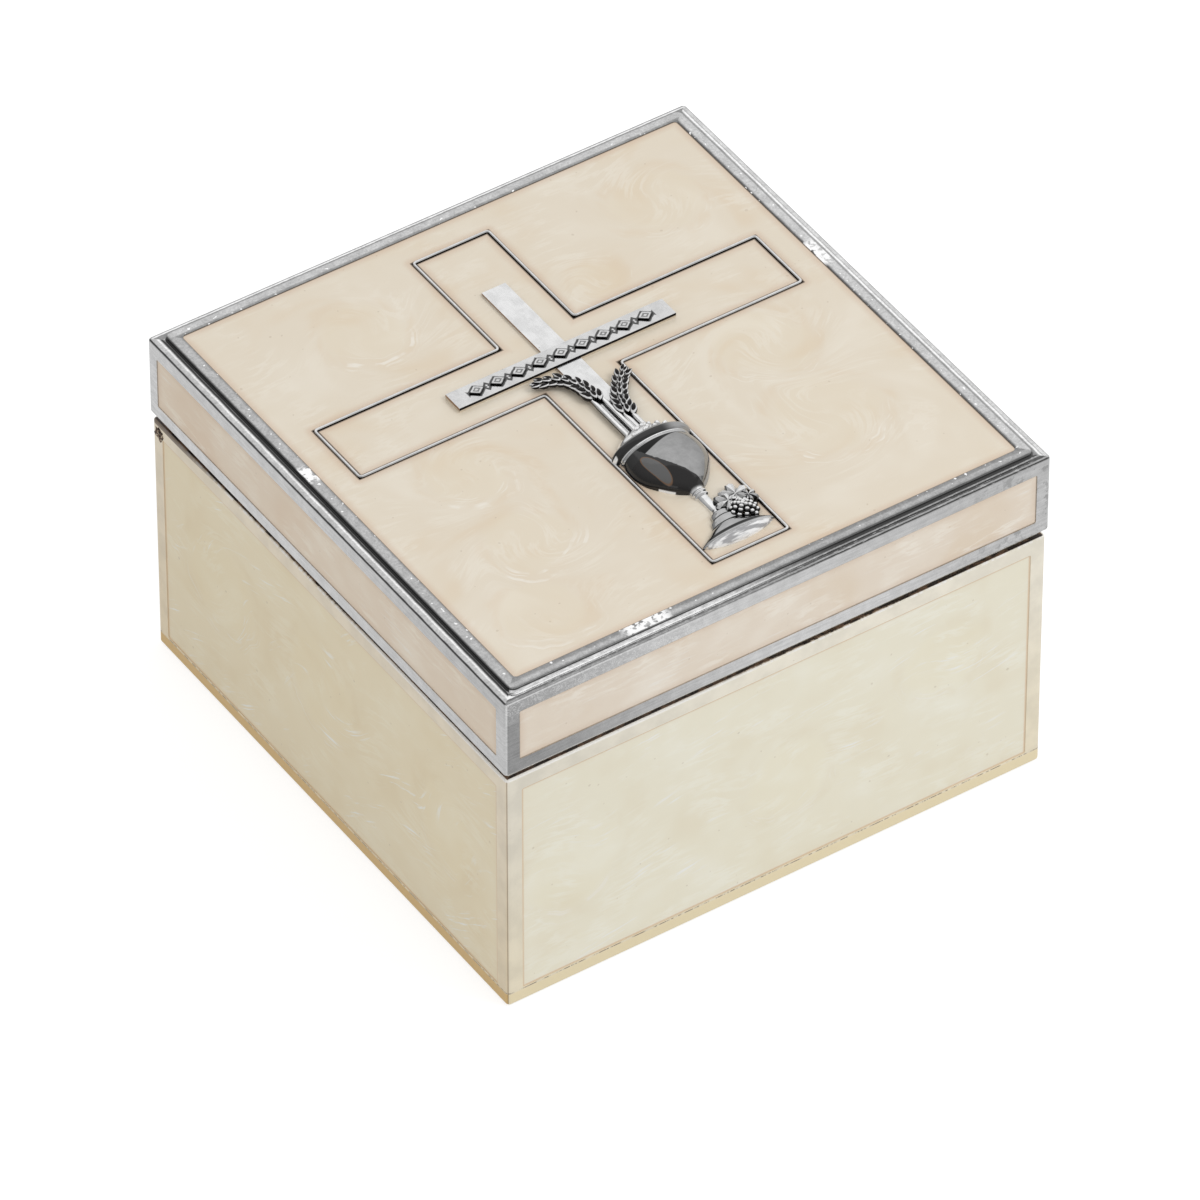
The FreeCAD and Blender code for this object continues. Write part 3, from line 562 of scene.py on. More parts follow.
def rim_tones(g, p):
    """Bright and dark bands of painted reflection round the ledge and cove, flecks on the front ledge,
    specks and worn patches.
    """
    front = g.mix(p.rightward, g.ramp(p.across, NEAR_BANDS), g.ramp(p.across, FAR_BANDS))
    sides = g.mix(p.x.step(-1, 1), g.ramp(p.across, LEFT_BANDS), g.ramp(p.across, RIGHT_BANDS))
    tone = g.mix(p.beside, g.mix(p.behind, front, g.ramp(p.across, BACK_BANDS)), sides)
    tone = g.scale(tone, p.grain.step(0.3, 0.7, 0.82, 1.18))
    tone = g.scale(tone, p.mottle.step(0.35, 0.65, 0.92, 1.08))
    stepped = p.inward.step(RIM_SETBACK + 0.1, RIM_SETBACK - 0.1) * p.in_front * 0.4
    tone = tone.coat(grey(0.9), p.flecks.step(0.58, 0.66), stepped)
    tone = tone.coat(grey(0.06), p.flecks.step(0.38, 0.31), stepped)
    specks = g.noise(p.at, 1.7, detail=0).step(0.76, 0.8)
    tone = tone.coat(WHITE, specks, p.inward.step(2.1, 2.3))
    torn = g.noise(p.at, 1.1).step(0.42, 0.5)
    for axis, side, place, half in WORN:
        edge, length, setback = (p.x, p.y, SIDE_SETBACK) if axis == "x" else (p.y, p.x, RIM_SETBACK)
        close = abs(length - place).step(half, half * 0.6)
        this_side = (edge * side).step(0, 1)
        on_rim = p.inward.step(setback, setback + 0.1)
        tone = tone.coat(WHITE, close, this_side, on_rim, torn)
    return tone


def wall_tones(g, p, tone):
    """The rim's wall over the ledge, painted with bands of reflection and shade and scuffed in front. Gives
    the tones with it and where it is.
    """
    rise = p.z - ledge
    wall = rise.band(0.04, 0.12, RIM_RISE - 0.1, RIM_RISE - 0.02)
    scuffed = g.scale(g.ramp(rise, NEAR_WALL), p.flecks.step(0.4, 0.6, 0.8, 1.2))
    front = g.mix(p.rightward, scuffed, g.ramp(rise, FAR_WALL))
    return g.mix(wall, tone, g.mix(p.in_front, g.ramp(rise, SIDE_WALL), front)), wall


def border_tones(g, p):
    """The brushed borders round the skirt's enamel, in front with scuffs and scribbles at the left and dull
    spots at the right. Gives the tone and the light marks."""
    brushed = g.noise(g.join(p.along * 0.16, p.z * 2.2, p.beside), 1, detail=4)
    tone = p.mottle.step(0.3, 0.7, 0.76, 0.86)
    tone *= p.grain.step(0.3, 0.7, 0.92, 1) * brushed.step(0.3, 0.7, 0.95, 1.09)
    upper = p.z.step(ledge - 4.5, ledge - 3.5)
    high = g.blend(p.in_front, p.y.step(10, -40, 0.97, 0.83), p.x.step(-42, 40, 1.2, 0.88))
    low = g.blend(p.in_front, p.y.step(20, -30, 1.03, 0.94), p.x.step(12, 34, 1.08, 0.95))
    tone *= g.blend(upper, low, high)
    patchy = g.noise(p.at, 1.1, detail=4).step(0.5, 0.62)
    scuff = patchy * p.in_front * upper * p.x.step(0, -20)
    tone = g.blend(scuff * 0.5, tone, 1)
    curl = abs(g.noise(p.at, 0.8, detail=2, distortion=1.4) - 0.5)
    corner = p.x.step(-8, -20) * p.z.step(ledge - 4, ledge - 2) * p.in_front
    scribble = curl.step(0.034, 0.012) * corner
    tone = g.blend(scribble * 0.7, tone, 1)
    spots = g.noise(p.at, 0.9).step(0.5, 0.62) * p.x.step(24, 42) * p.in_front
    tone = g.blend(spots * 0.6, tone, 0.36)
    return g.grey(tone), g.most(scribble * 0.3, scuff * 0.08)


def lid_plate(name):
    """Silver plate of the lid: the rim banded with painted reflections, its wall painted with reflections
    and shade, and the borders below. The wall, its left foot and the border's marks are dull."""
    g = new_graph(name)
    p = lid_point(g)
    tone, wall = wall_tones(g, p, rim_tones(g, p))
    border, marks = border_tones(g, p)
    above = p.z.step(ledge - 0.3, ledge - 0.05)
    foot = p.across.step(1.3, 1.4) * p.inward.step(SIDE_SETBACK + 0.05, SIDE_SETBACK)
    foot *= p.beside * p.x.step(1, -1)
    metal = 1 - g.most(wall, foot, marks * (1 - above))
    rough = p.grain.step(0.3, 0.7, 0.1, 0.18)
    normal = g.bump(p.grain, 0.1, 0.0001)
    return g.finish(Base_Color=g.mix(above, border, tone), Metallic=metal, Roughness=rough, Normal=normal)


def land_tones(g, inward, along, beside, whole):
    """The base's top land: the seam's painted shadow in brown and black, with a painted highlight on its
    outer edge.
    """
    shadow_patches = g.noise(g.join(along * 0.5, inward, beside), 1)
    seam_shadow = g.mix(shadow_patches.step(0.45, 0.62), rgb(0.02, 0.012, 0.008), rgb(0.16, 0.09, 0.05))
    bright = g.mix(along.step(-25, 10), rgb(1, 0.96, 0.88), rgb(0.6, 0.48, 0.36))
    return seam_shadow.coat(bright, inward.step(0.42, 0.3), whole, along.step(26, 14))


def champagne(name):
    """Satin warm plate of the base: cream borders, a deeper gold lower strip with a broken line over it,
    brown corners, a painted highlight along the top edge, and a top land painted with the seam's shadow
    along its outer edge. The sides are painted darker and warmer as painted shade, the borders' darkening
    towards the bottom and the strip's deeper gold are a painted reflection of the floor's shade, and the
    seam at the back of the sides is painted shade."""
    g = new_graph(name)
    at = g.place()
    x, y, z = at.split()
    wide = abs(x)
    deep = abs(y)
    inward = base_half - g.most(wide, deep)
    beside = (wide - deep).step(-0.02, 0.02)
    along = g.blend(beside, x, y)
    # The sides painted darker and warmer as painted shade, and the borders darker towards the bottom as a
    # painted reflection of the floor's shade
    cream = g.mix(beside, rgb(0.88, 0.83, 0.71), rgb(0.82, 0.73, 0.58))
    paled = g.mix(z.step(base_bottom, base_top), rgb(0.97, 0.93, 0.84), WHITE)
    colour = g.multiply(g.scale(cream, g.noise(at, 0.25).step(0.3, 0.7, 1, 1.12)), paled)
    # The lower strip's deeper gold is a painted reflection of the floor's shade, deeper still on the sides
    # as painted shade
    gold_and_reflected_shade = g.mix(beside, rgb(0.93, 0.81, 0.55), rgb(0.74, 0.51, 0.215))
    rise = z - strip_top
    colour = g.mix(rise.step(-0.25, -0.45), colour, gold_and_reflected_shade)
    runs = g.noise(g.join(along * 0.5, beside), 1, detail=4, roughness=0.7)
    dash = runs.step(0.46, 0.54)
    line = abs(rise + 0.2).step(0.14, 0.05)
    colour = colour.coat(rgb(0.22, 0.14, 0.07), line, dash, 0.75)
    speck = g.noise(at, 3, detail=1).step(0.79, 0.83)
    colour = colour.coat(rgb(0.25, 0.17, 0.1), speck, 0.6)
    corner = g.least(wide, deep).step(base_half - 0.28, base_half - 0.18)
    nearest = x.step(0, -1) * y.step(0, -1)
    rag = g.noise(g.join(z=z), 0.9).step(0.28, 0.36)
    colour = colour.coat(rgb(0.3, 0.18, 0.09), corner, rag, nearest * 0.5 + 0.25)
    whole = g.most(dash, along.step(4, -14))
    # A painted highlight along the top edge
    lip = z.step(base_top - 0.36, base_top - 0.2)
    colour = colour.coat(rgb(1, 0.98, 0.94), lip, whole, 0.85)
    # Painted shade in the seam at the back of the sides
    hinge_end = beside * y.step(20, 40)
    reach = hinge_end * 0.75 + (z - base_top)
    colour = colour.coat(rgb(0.13, 0.085, 0.06), reach.step(0, 0.1), hinge_end, 0.85)
    land = z.step(base_top - 0.06, base_top - 0.01) * inward.step(1, 0.82)
    colour = g.mix(land, colour, land_tones(g, inward, along, beside, whole))
    shine = (1 - land) * 0.25
    normal = g.bump(g.noise(at, 2.5, detail=4), 0.06, 0.0002)
    return g.finish(Base_Color=colour, Metallic=shine, Roughness=0.36, Normal=normal)


def velvet(name, colour, pile):
    """Cloth with a nap: darker where the pile lies over, with fine tufts and a sheen."""
    g = new_graph(name)
    at = g.place()
    nap = g.noise(at, (0.06, 0.16, 0.12), detail=2)
    tuft = g.noise(at, 9, detail=2)
    dark = rgb(colour[0] * 0.88, colour[1] * 0.87, colour[2] * 0.85)
    mixed = g.mix(nap.step(0.3, 0.7), dark, colour)
    mixed = mixed.coat(dark, tuft.step(0.5, 0.3), 0.35)
    normal = g.bump(tuft, 0.5, 0.0002)
    sheen = {"Sheen_Weight": pile, "Sheen_Roughness": 0.4}
    return g.finish(Base_Color=mixed, Roughness=0.95, Normal=normal, **sheen)


def peened(name):
    """Hammered metal of the pin: black, brown and bright by turns."""
    g = new_graph(name)
    mottle = g.noise(g.place(), 2.4, detail=4, roughness=0.7)
    colour = g.mix(mottle.step(0.42, 0.54), rgb(0.015, 0.01, 0.008), rgb(0.3, 0.2, 0.13))
    colour = g.mix(mottle.step(0.56, 0.62), colour, rgb(0.75, 0.66, 0.52))
    normal = g.bump(mottle, 0.8, 0.0004)
    return g.finish(Base_Color=colour, Metallic=0.5, Roughness=0.5, Normal=normal)


def paint(node, material):
    nodes[node].data.materials.clear()
    nodes[node].data.materials.append(material)


wire_plate = plated("wire_plate", 0.72, 0.12, 0.06, blacking_and_reflection=(0.2, 0.55))
upright_plate = plated("upright_plate", 0.76, 0.2, 0.04, brushed=(3, 0.6, 3), shade=upright_reflected_edge)
bar_plate = plated("bar_plate", 0.66, 0.2, 0.05, shade=lozenge_band)
cup_plate = plated("cup_plate", 0.86, 0.07, 0.06, brushed=(1.2, 1.2, 1.2), shade=cup_tones)
straw_plate = plated("straw_plate", 0.88, 0.08, 0.05, blacking_and_reflection=(0.15, 0.55))
husk_plate = plated("husk_plate", 0.85, 0.15, 0.06, shade=husk_tones)
grape_plate = plated("grape_plate", 0.85, 0.08, 0.05, blacking_and_reflection=(0.55, 0.92))
leaf_plate = plated("leaf_plate", 0.75, 0.14, 0.1, blacking_and_reflection=(0.3, 0.7))

for side, axes, whorls, skirt, base, tilt in (
    ("front", (0, 2), FRONT_WHORLS, SKIRT_ENAMEL, BASE_ENAMEL, 0.15),
    ("back", (0, 2), LEFT_WHORLS, SKIRT_ENAMEL, BASE_ENAMEL, 0.15),
    ("left", (1, 2), LEFT_WHORLS, PAINTED_SHADE_SKIRT, PAINTED_SHADE_BASE, -0.6),
    ("right", (1, 2), FRONT_WHORLS, SKIRT_ENAMEL, BASE_ENAMEL, -0.3),
):
    figure = {"whorls": whorls, "feather": 0.8, "halo": 0.1, "line": BASE_LINE, "depth": 1.1, "tilt": tilt}
    node = f"base_enamel_{side}"
    paint(node, enamel(node, base, **figure, **panel(node, axes)))
    figure = {"whorls": (), "feather": 0.4, "halo": 0.6, "line": SKIRT_LINE, "depth": 1.7}
    node = f"lid_enamel_{side}"
    paint(node, enamel(node, skirt, **figure, **panel(node, axes)))
field = {"axes": (0, 1), "half": (field_half.x, field_half.y), "centre": (0, 0)}
figure = {"whorls": LID_WHORLS, "feather": 0, "halo": 1, "line": TOP_LINE, "depth": 1.2}
for node, cross in (("lid_enamel_field", 1), ("lid_enamel_cross", -1)):
    paint(node, enamel(node, TOP_ENAMEL, cross=cross, **figure, **field))
paint("lid_shell", lid_plate("lid_plate"))
paint("base_shell", champagne("champagne_plate"))
paint("hinge_pin", peened("peened_pin"))
paint("cross_upright", upright_plate)
paint("cross_bar", bar_plate)
pile = velvet("velvet_pile", rgb(0.62, 0.54, 0.42), 0.6)
felt = velvet("felt", grey(0.05), 0.2)


def add_object(name, data):
    made = bpy.data.objects.new(name, data)
    bpy.context.scene.collection.objects.link(made)
    return made


class Shape:
    """Points and faces of one piece, in millimetres."""

    def __init__(self):
        self.points = []
        self.faces = []

    def loft(self, rings, closed=True, ends=True):
        """Joins rings of points, of one count each, into a skin, and closes it at both ends."""
        start = len(self.points)
        count = len(rings[0])
        for ring in rings:
            self.points += [Vector(point) for point in ring]
        for row in range(len(rings) - 1):
            for column in range(count if closed else count - 1):
                a = start + row * count + column
                b = start + row * count + (column + 1) % count
                self.faces.append((a, b, b + count, a + count))
        if ends:
            last = start + (len(rings) - 1) * count
            self.faces.append(tuple(range(start + count - 1, start - 1, -1)))
            self.faces.append(tuple(range(last, last + count)))

    def piece(self, name, material, body, slot, *stands_for, smooth=40):
        """Makes the piece, for the CAD nodes it stands for. Edges over smooth degrees stay sharp."""
        mesh = bpy.data.meshes.new(name)
        mesh.from_pydata([point * MM for point in self.points], [], self.faces)
        work = bmesh.new()
        work.from_mesh(mesh)
        bmesh.ops.remove_doubles(work, verts=work.verts, dist=1e-6)
        bmesh.ops.recalc_face_normals(work, faces=work.faces)
        for face in work.faces:
            face.smooth = True
        for edge in work.edges:
            edge.smooth = edge.calc_face_angle(0) < math.radians(smooth)
        work.to_mesh(mesh)
        work.free()
        mesh.materials.append(material)
        made = add_object(name, mesh)
        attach(made, body)
        if stands_for:
            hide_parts(*stands_for)
        return made


def eased(stops, steps):
    """Points of a smooth curve through the stops, steps to each stretch."""
    stops = [Vector((*stop, 0)) for stop in stops]
    ends = [stops[0] * 2 - stops[1]] + stops + [stops[-1] * 2 - stops[-2]]
    curve = []
    for a, b, c, d in zip(ends, ends[1:], ends[2:], ends[3:]):
        for step in range(steps):
            t = step / steps
            bend = (a * 2 - b * 5 + c * 4 - d) * t * t + (b * 3 - a - c * 3 + d) * t ** 3
            curve.append((b * 2 + (c - a) * t + bend) / 2)
    return curve + [stops[-1]]


def circle(turns):
    """Cosine and sine at even steps round a circle."""
    angles = [math.tau * step / turns for step in range(turns)]
    return [(math.cos(angle), math.sin(angle)) for angle in angles]


WIRE_WIDTH = 0.44
WIRE_PROUD = 0.3
WIRE_CORNER = 0.55
CORNER_STEPS = 5
# The wire's round section, as shares of half its width and of how far it stands proud
WIRE_SECTION = (
    (-1, -0.35), (-1, 0.35), (-0.8, 0.75), (-0.4, 0.97), (0, 1), (0.4, 0.97), (0.8, 0.75),
    (1, 0.35), (1, -0.35),
)


def cross_wire():
    """The raised wire round the cross, with eased corners."""
    half = WIRE_WIDTH / 2
    side = CROSS_HALF - half
    reach = wire_high.x - half
    top = wire_high.y - half
    foot = wire_low.y + half
    high = ARM_MIDDLE + ARM_HALF - half
    low = ARM_MIDDLE - ARM_HALF + half
    corners = [
        (side, top), (side, high), (reach, high), (reach, low), (side, low), (side, foot),
        (-side, foot), (-side, low), (-reach, low), (-reach, high), (-side, high), (-side, top),
    ]
    corners = [Vector((x, y, field_top)) for x, y in corners]
    above = Vector((0, 0, WIRE_PROUD))
    rings = []
    for before, corner, after in zip(corners[-1:] + corners[:-1], corners, corners[1:] + corners[:1]):
        enter = (corner - before).normalized()
        leave = (after - corner).normalized()
        for step in range(CORNER_STEPS + 1):
            t = step / CORNER_STEPS
            first = (corner - enter * WIRE_CORNER).lerp(corner, t)
            second = corner.lerp(corner + leave * WIRE_CORNER, t)
            along = enter.lerp(leave, t).normalized()
            aside = Vector((-along.y, along.x, 0)) * half
            rings.append([first.lerp(second, t) + aside * s + above * h for s, h in WIRE_SECTION])
    wire = Shape()
    wire.loft(rings + rings[:1], closed=False, ends=False)
    return wire


CUP_TURNS = 56
CUP_STEPS = 5
CUP_SUNK = 0.05
# How far the cup stands off the lid, as a share of its radius, by the place below its rim
CUP_PRESS = (
    (3.4, 0.5), (-0.6, 0.5), (-1.65, 0.54), (-5, 0.57), (-6.9, 0.63), (-8.3, 0.72), (-9.6, 0.8),
    (-11.4, 0.9), (-16.5, 0.9), (-18, 0.6), (-19.3, 0.42), (-21.4, 0.29), (-23, 0.29),
)
# The turned profile from the cover's top to the sole: radius and place below the rim. Each row is a smooth
# stretch that goes on from the row before
CUP_PROFILE = (
    ((0, 3.4), (2.4, 3.05), (4.1, 2), (5, 0.75)),
    ((5.7, 0.62), (6.25, 0.25), (6.4, -0.2), (6.25, -0.65), (5.85, -0.9)),
    ((5.6, -1), (5.5, -1.15)),
    ((5.66, -1.28), (5.66, -1.45), (5.5, -1.65)),
    ((5.75, -2.9), (5.75, -5), (5.2, -6.9), (4.3, -8.3), (3.3, -9.6), (2.3, -10.6), (1.2, -11.4)),
    ((1.05, -11.75), (1.25, -12), (1.25, -12.2), (0.95, -12.4)),
    ((1.15, -12.6), (1.15, -12.8), (0.85, -13.05)),
    ((0.82, -14.6), (0.9, -16), (1.25, -16.9)),
    ((1.6, -17.1), (1.75, -17.6), (1.9, -18)),
    ((2.35, -18.3), (2.6, -18.9), (2.75, -19.3)),
    ((3.6, -19.9), (4.7, -20.7), (5.6, -21.3)),
    ((5.85, -21.5), (5.8, -21.75), (5.5, -21.85)),
    ((4.2, -22.35), (2.4, -22.8), (0, -23)),
)
# Beads and small leaves on the cover: place round from the left in degrees, place above the rim, size
COVER_RADIUS = 5.05
COVER_HEIGHT = 3.45
COVER_BEADS = (
    (96, 1.5, 0.42), (106, 1, 0.45), (108, 2.2, 0.4), (118, 1.5, 0.48), (128, 0.95, 0.42),
    (126, 2, 0.38), (138, 1.4, 0.4),
)
COVER_LEAVES = ((62, 1, 0.9), (72, 1.9, 1.2), (84, 0.9, 1.3), (88, 2.3, 1))
COVER_LEAF = (0.7, 0.5)


def press(along):
    """The share of its radius that the cup stands off the lid, at a place below the rim."""
    for (high, first), (low, last) in zip(CUP_PRESS, CUP_PRESS[1:]):
        if along >= low:
            return last + (first - last) * (along - low) / (high - low)
    return CUP_PRESS[-1][1]


def on_cup(radius, along, angle):
    """A point on the pressed cup: its radius, its place below the rim and the angle round from the left."""
    out = max(radius, 0)
    height = math.sin(angle) * out * press(along)
    return Vector((-math.cos(angle) * out, CUP_RIM + along, field_top - CUP_SUNK + height))


def on_cover(degrees, along):
    """A point on the cup's cover."""
    radius = COVER_RADIUS * math.sqrt(max(1 - (along / COVER_HEIGHT) ** 2, 0))
    return on_cup(radius, along, math.radians(degrees))


def chalice():
    """The cup in relief: half of a turned profile, pressed on the lid, its cover beaded and leafed."""
    cup = Shape()
    turns = [math.pi * step / CUP_TURNS for step in range(CUP_TURNS + 1)]
    start = ()
    for stretch in CUP_PROFILE:
        curve = eased(start + stretch, CUP_STEPS)
        rings = [[on_cup(point.x, point.y, angle) for angle in turns] for point in curve]
        cup.loft(rings, closed=False, ends=False)
        start = stretch[-1:]
    for degrees, along, size in COVER_BEADS:
        bead(cup, on_cover(degrees, along), size)
    for degrees, along, length in COVER_LEAVES:
        root = on_cover(degrees, along)
        seed(cup, root, Vector((1, 0.5, 0.1)), Vector((0, 0.3, 1)), length, *COVER_LEAF)
    return cup


def bead(shape, centre, radius, rings=7, turns=12):
    """A small ball. Several of them make a cluster or a beaded edge."""
    skin = []
    for row in range(1, rings):
        polar = math.pi * row / rings
        out = math.sin(polar)
        up = math.cos(polar)
        skin.append([centre + Vector((out * c, out * s, up)) * radius for c, s in circle(turns)])
    shape.loft(skin)


# How deep the groove in a husk's back is, as a share of its height, and how wide in degrees
GROOVE_DEPTH = 0.22
GROOVE_WIDTH = 22


def seed(shape, root, along, above, length, width, height, rows=9, turns=12):
    """A pointed husk or leaf that swells from its root and comes to a tip, with a groove down its back."""
    along = along.normalized()
    aside = above.cross(along).normalized()
    above = along.cross(aside)
    skin = []
    for row in range(rows + 1):
        t = row / rows
        swell = max(math.sin(math.pi * t ** 0.8) ** 0.8, 0.06)
        ring = []
        for step in range(turns):
            angle = math.tau * step / turns
            off_back = (math.degrees(angle) - 90) / GROOVE_WIDTH
            groove = 1 - GROOVE_DEPTH * math.exp(-off_back ** 2)
            ring.append(
                root + along * length * t
                + aside * math.cos(angle) * swell * width / 2
                + above * math.sin(angle) * swell * height / 2 * groove
            )
        skin.append(ring)
    shape.loft(skin)


# Each ear's spine from its foot to its tip, where its straws leave the cup and how wide it is
EARS = {
    "left": {
        "stops": (
            (-1.35, -2.3), (-1.4, -0.65), (-1.62, 0.83), (-2.3, 2.6), (-3.4, 3.9), (-4.9, 4.75), (-6.5, 5.4),
        ),
        "straws": (-1.87, -0.45),
        "width": 0.95,
    },
    "right": {
        "stops": (
            (0.6, -7.1), (0.95, -5.8), (1.5, -3.7), (2.35, -2.1), (3.2, -0.84), (4.4, 0.3), (5.4, 0.9),
        ),
        "straws": (0.3, 1.3),
        "width": 1.2,
    },
}
EAR_ROWS = 8
EAR_LIFT = 0.85
EAR_TAPER = 0.24
SPLAY = math.radians(21)
# Length, width and height of a husk and of the one at the tip
HUSK = (2.3, 1.15, 1.25)
TIP_HUSK = (1.6, 0.9, 0.9)
HUSK_ASIDE = 0.42
HUSK_OVER = 0.3
STRAW_RADIUS = 0.42
STRAW_LIFT = 0.4
STRAW_TURNS = 12


def straws(places, foot):
    """Straws side by side from the cup to the foot of an ear."""
    sheaf = Shape()
    for x in places:
        rings = []
        for y in (CUP_RIM + 0.6, foot - 1, foot + 0.4, foot + 1):
            centre = Vector((x, y, field_top + STRAW_LIFT + STRAW_RADIUS * 0.7))
            radius = STRAW_RADIUS * (1 if y < foot else 0.7)
            rings.append([centre + Vector((c, 0, s)) * radius for c, s in circle(STRAW_TURNS)])
        sheaf.loft(rings)
    return sheaf


def along_curve(curve, share):
    """The point at a share of a curve's length and the way it runs there."""
    runs = [(b - a).length for a, b in zip(curve, curve[1:])]
    left = share * sum(runs)
    for a, b, run in zip(curve, curve[1:], runs):
        if left <= run:
            break
        left -= run
    return a.lerp(b, min(left / run, 1)), (b - a).normalized()


def wheat_ear(stops, width):
    """An ear of wheat: staggered rows of husks on a bent spine, a row over them, and one at the tip."""
    ear = Shape()
    up = Vector((0, 0, 1))
    lift = up * (field_top + EAR_LIFT)
    curve = eased(stops, 6)
    draw = random.Random(5)
    for row in range(EAR_ROWS):
        for flank, late in ((-1, 0), (1, 0.5), (0, 0.25)):
            share = (row + late) / EAR_ROWS
            spot, ahead = along_curve(curve, share)
            size = (1 - EAR_TAPER * share) * draw.uniform(0.88, 1.06)
            way = Matrix.Rotation(SPLAY * flank * draw.uniform(0.8, 1.25), 3, "Z") @ ahead
            aside = Vector((-ahead.y, ahead.x, 0)) * flank * HUSK_ASIDE * width * size
            if flank == 0:
                aside = up * HUSK_OVER
                size *= 0.8
            seed(ear, lift + spot + aside, way + up * 0.12, up, *(length * size for length in HUSK))
    spot, ahead = along_curve(curve, 1)
    seed(ear, lift + spot - ahead * 0.6, ahead, up, *TIP_HUSK)
    return ear


CLUSTER_MIDDLE = (2.75, -31.5)
# The bunch's rings: how many grapes, the ring's radius and how high it lies
CLUSTER_RINGS = ((13, 2.1, 0.1), (10, 1.6, 0.6), (7, 1.05, 1), (4, 0.5, 1.25), (1, 0, 1.35))
GRAPE_RADIUS = 0.46
# The vine leaves over the bunch: where the stalk joins, the way it points in degrees and its length
LEAVES = ((3.35, -29, 80, 2.6), (1.75, -29.6, 125, 2.2), (4.75, -30.1, 28, 1.5))
# A leaf's outline from its stalk to its tip: degrees off the tip, share of the length, how near a vein it is
LEAF_EDGE = (
    (152, 0.42, 0), (134, 0.66, 0.7), (120, 0.72, 1), (104, 0.68, 0.7), (90, 0.5, 0),
    (74, 0.84, 0.7), (58, 0.95, 1), (42, 0.86, 0.7), (30, 0.62, 0), (14, 0.94, 0.7), (0, 1, 1),
)
# Its rows from the stalk out: share of the outline, then height on a vein and off it as shares of its rise
LEAF_ROWS = ((0.06, 0.9, 0.85), (0.45, 1, 0.6), (0.85, 0.8, 0.55), (1, 0.5, 0.4), (1, -0.5, -0.5))
LEAF_RISE = 1.1
LEAF_LIFT = 0.55


def grapes():
    """The bunch of grapes: rings of berries piled up towards the middle."""
    bunch = Shape()
    for count, ring, lift in CLUSTER_RINGS:
        for step in range(count):
            angle = math.tau * (step + 0.4 * lift) / count
            centre = Vector((
                CLUSTER_MIDDLE[0] + math.cos(angle) * ring,
                CLUSTER_MIDDLE[1] + math.sin(angle) * ring * 0.95,
                field_top + GRAPE_RADIUS * 0.8 + lift,
            ))
            bead(bunch, centre, GRAPE_RADIUS, rings=9, turns=14)
    return bunch


def leaves():
    """Lobed vine leaves over the bunch: high along the veins, low between them, with a turned-down edge."""
    fan = Shape()
    outline = [(-turn, reach, vein) for turn, reach, vein in LEAF_EDGE] + list(LEAF_EDGE[-2::-1])
    for x, y, heading, length in LEAVES:
        rings = []
        for share, on_vein, off_vein in LEAF_ROWS:
            ring = []
            for turn, reach, vein in outline:
                angle = math.radians(heading + turn)
                out = reach * length * share
                height = field_top + LEAF_LIFT + LEAF_RISE * (off_vein + (on_vein - off_vein) * vein)
                ring.append(Vector((x + math.cos(angle) * out, y + math.sin(angle) * out, height)))
            rings.append(ring)
        fan.loft(rings)
    return fan


PIN_TURNS = 18
# A pin head's section: radius and how far it stands out of the base's side
PIN_SECTION = ((1.28, -0.3), (1.3, 0.01), (1, 0.12), (0.6, 0.2), (0.2, 0.1))


def pin_heads():
    """The pin's two ends, peened over the holes in the base's sides into ragged buttons."""
    heads = Shape()
    low, high = span("hinge_pin")
    middle = (low + high) / 2
    draw = random.Random(7)
    for side in (-1, 1):
        rag = [draw.uniform(0.66, 1.2) for _ in range(PIN_TURNS)]
        rings = []
        for radius, proud in PIN_SECTION:
            ring = []
            for (c, s), ragged in zip(circle(PIN_TURNS), rag):
                x = side * (base_half + proud * draw.uniform(0.7, 1.3))
                ring.append(Vector((x, middle.y + c * radius * ragged, middle.z + s * radius * ragged)))
            rings.append(ring)
        heads.loft(rings)
    return heads


cross_wire().piece("cross_wire", wire_plate, "lid", "emblem_metal", "cross_outline")
chalice().piece("chalice_relief", cup_plate, "lid", "relief_metal", "chalice", smooth=35)
for side, ear in EARS.items():
    grown = wheat_ear(ear["stops"], ear["width"])
    grown.piece(f"wheat_{side}", husk_plate, "lid", "relief_metal", f"wheat_ear_{side}", smooth=60)
    sheaf = straws(ear["straws"], ear["stops"][0][1])
    sheaf.piece(f"straws_{side}", straw_plate, "lid", "relief_metal", smooth=60)
grapes().piece("grape_bunch", grape_plate, "lid", "relief_metal", "grape_cluster", smooth=80)
leaves().piece("leaf_fan", leaf_plate, "lid", "relief_metal", "vine_leaves", smooth=18)
pin_heads().piece("pin_heads", peened("peened_heads"), "base", "pin_metal", smooth=30)


# Velvet over card: each lining's body, the axis of its thickness, which way its face looks along it, and the
# columns and rows of its cloth
PADS = {
    "floor_pad": ("base", 2, 1, 40, 40),
    "lid_lining": ("lid", 2, -1, 40, 40),
    "wall_lining_front": ("base", 1, 1, 40, 18),
    "wall_lining_back": ("base", 1, -1, 40, 16),
    "wall_lining_left": ("base", 0, 1, 40, 18),
    "wall_lining_right": ("base", 0, -1, 40, 18),
}
CARD_SHARE = 0.4
DRAWN_IN = 0.25
SWELL_SCALE = 10
SWELL_FRAMES = 16
SWELL_PRESSURE = 4
SWELL_SLACK = 0.012


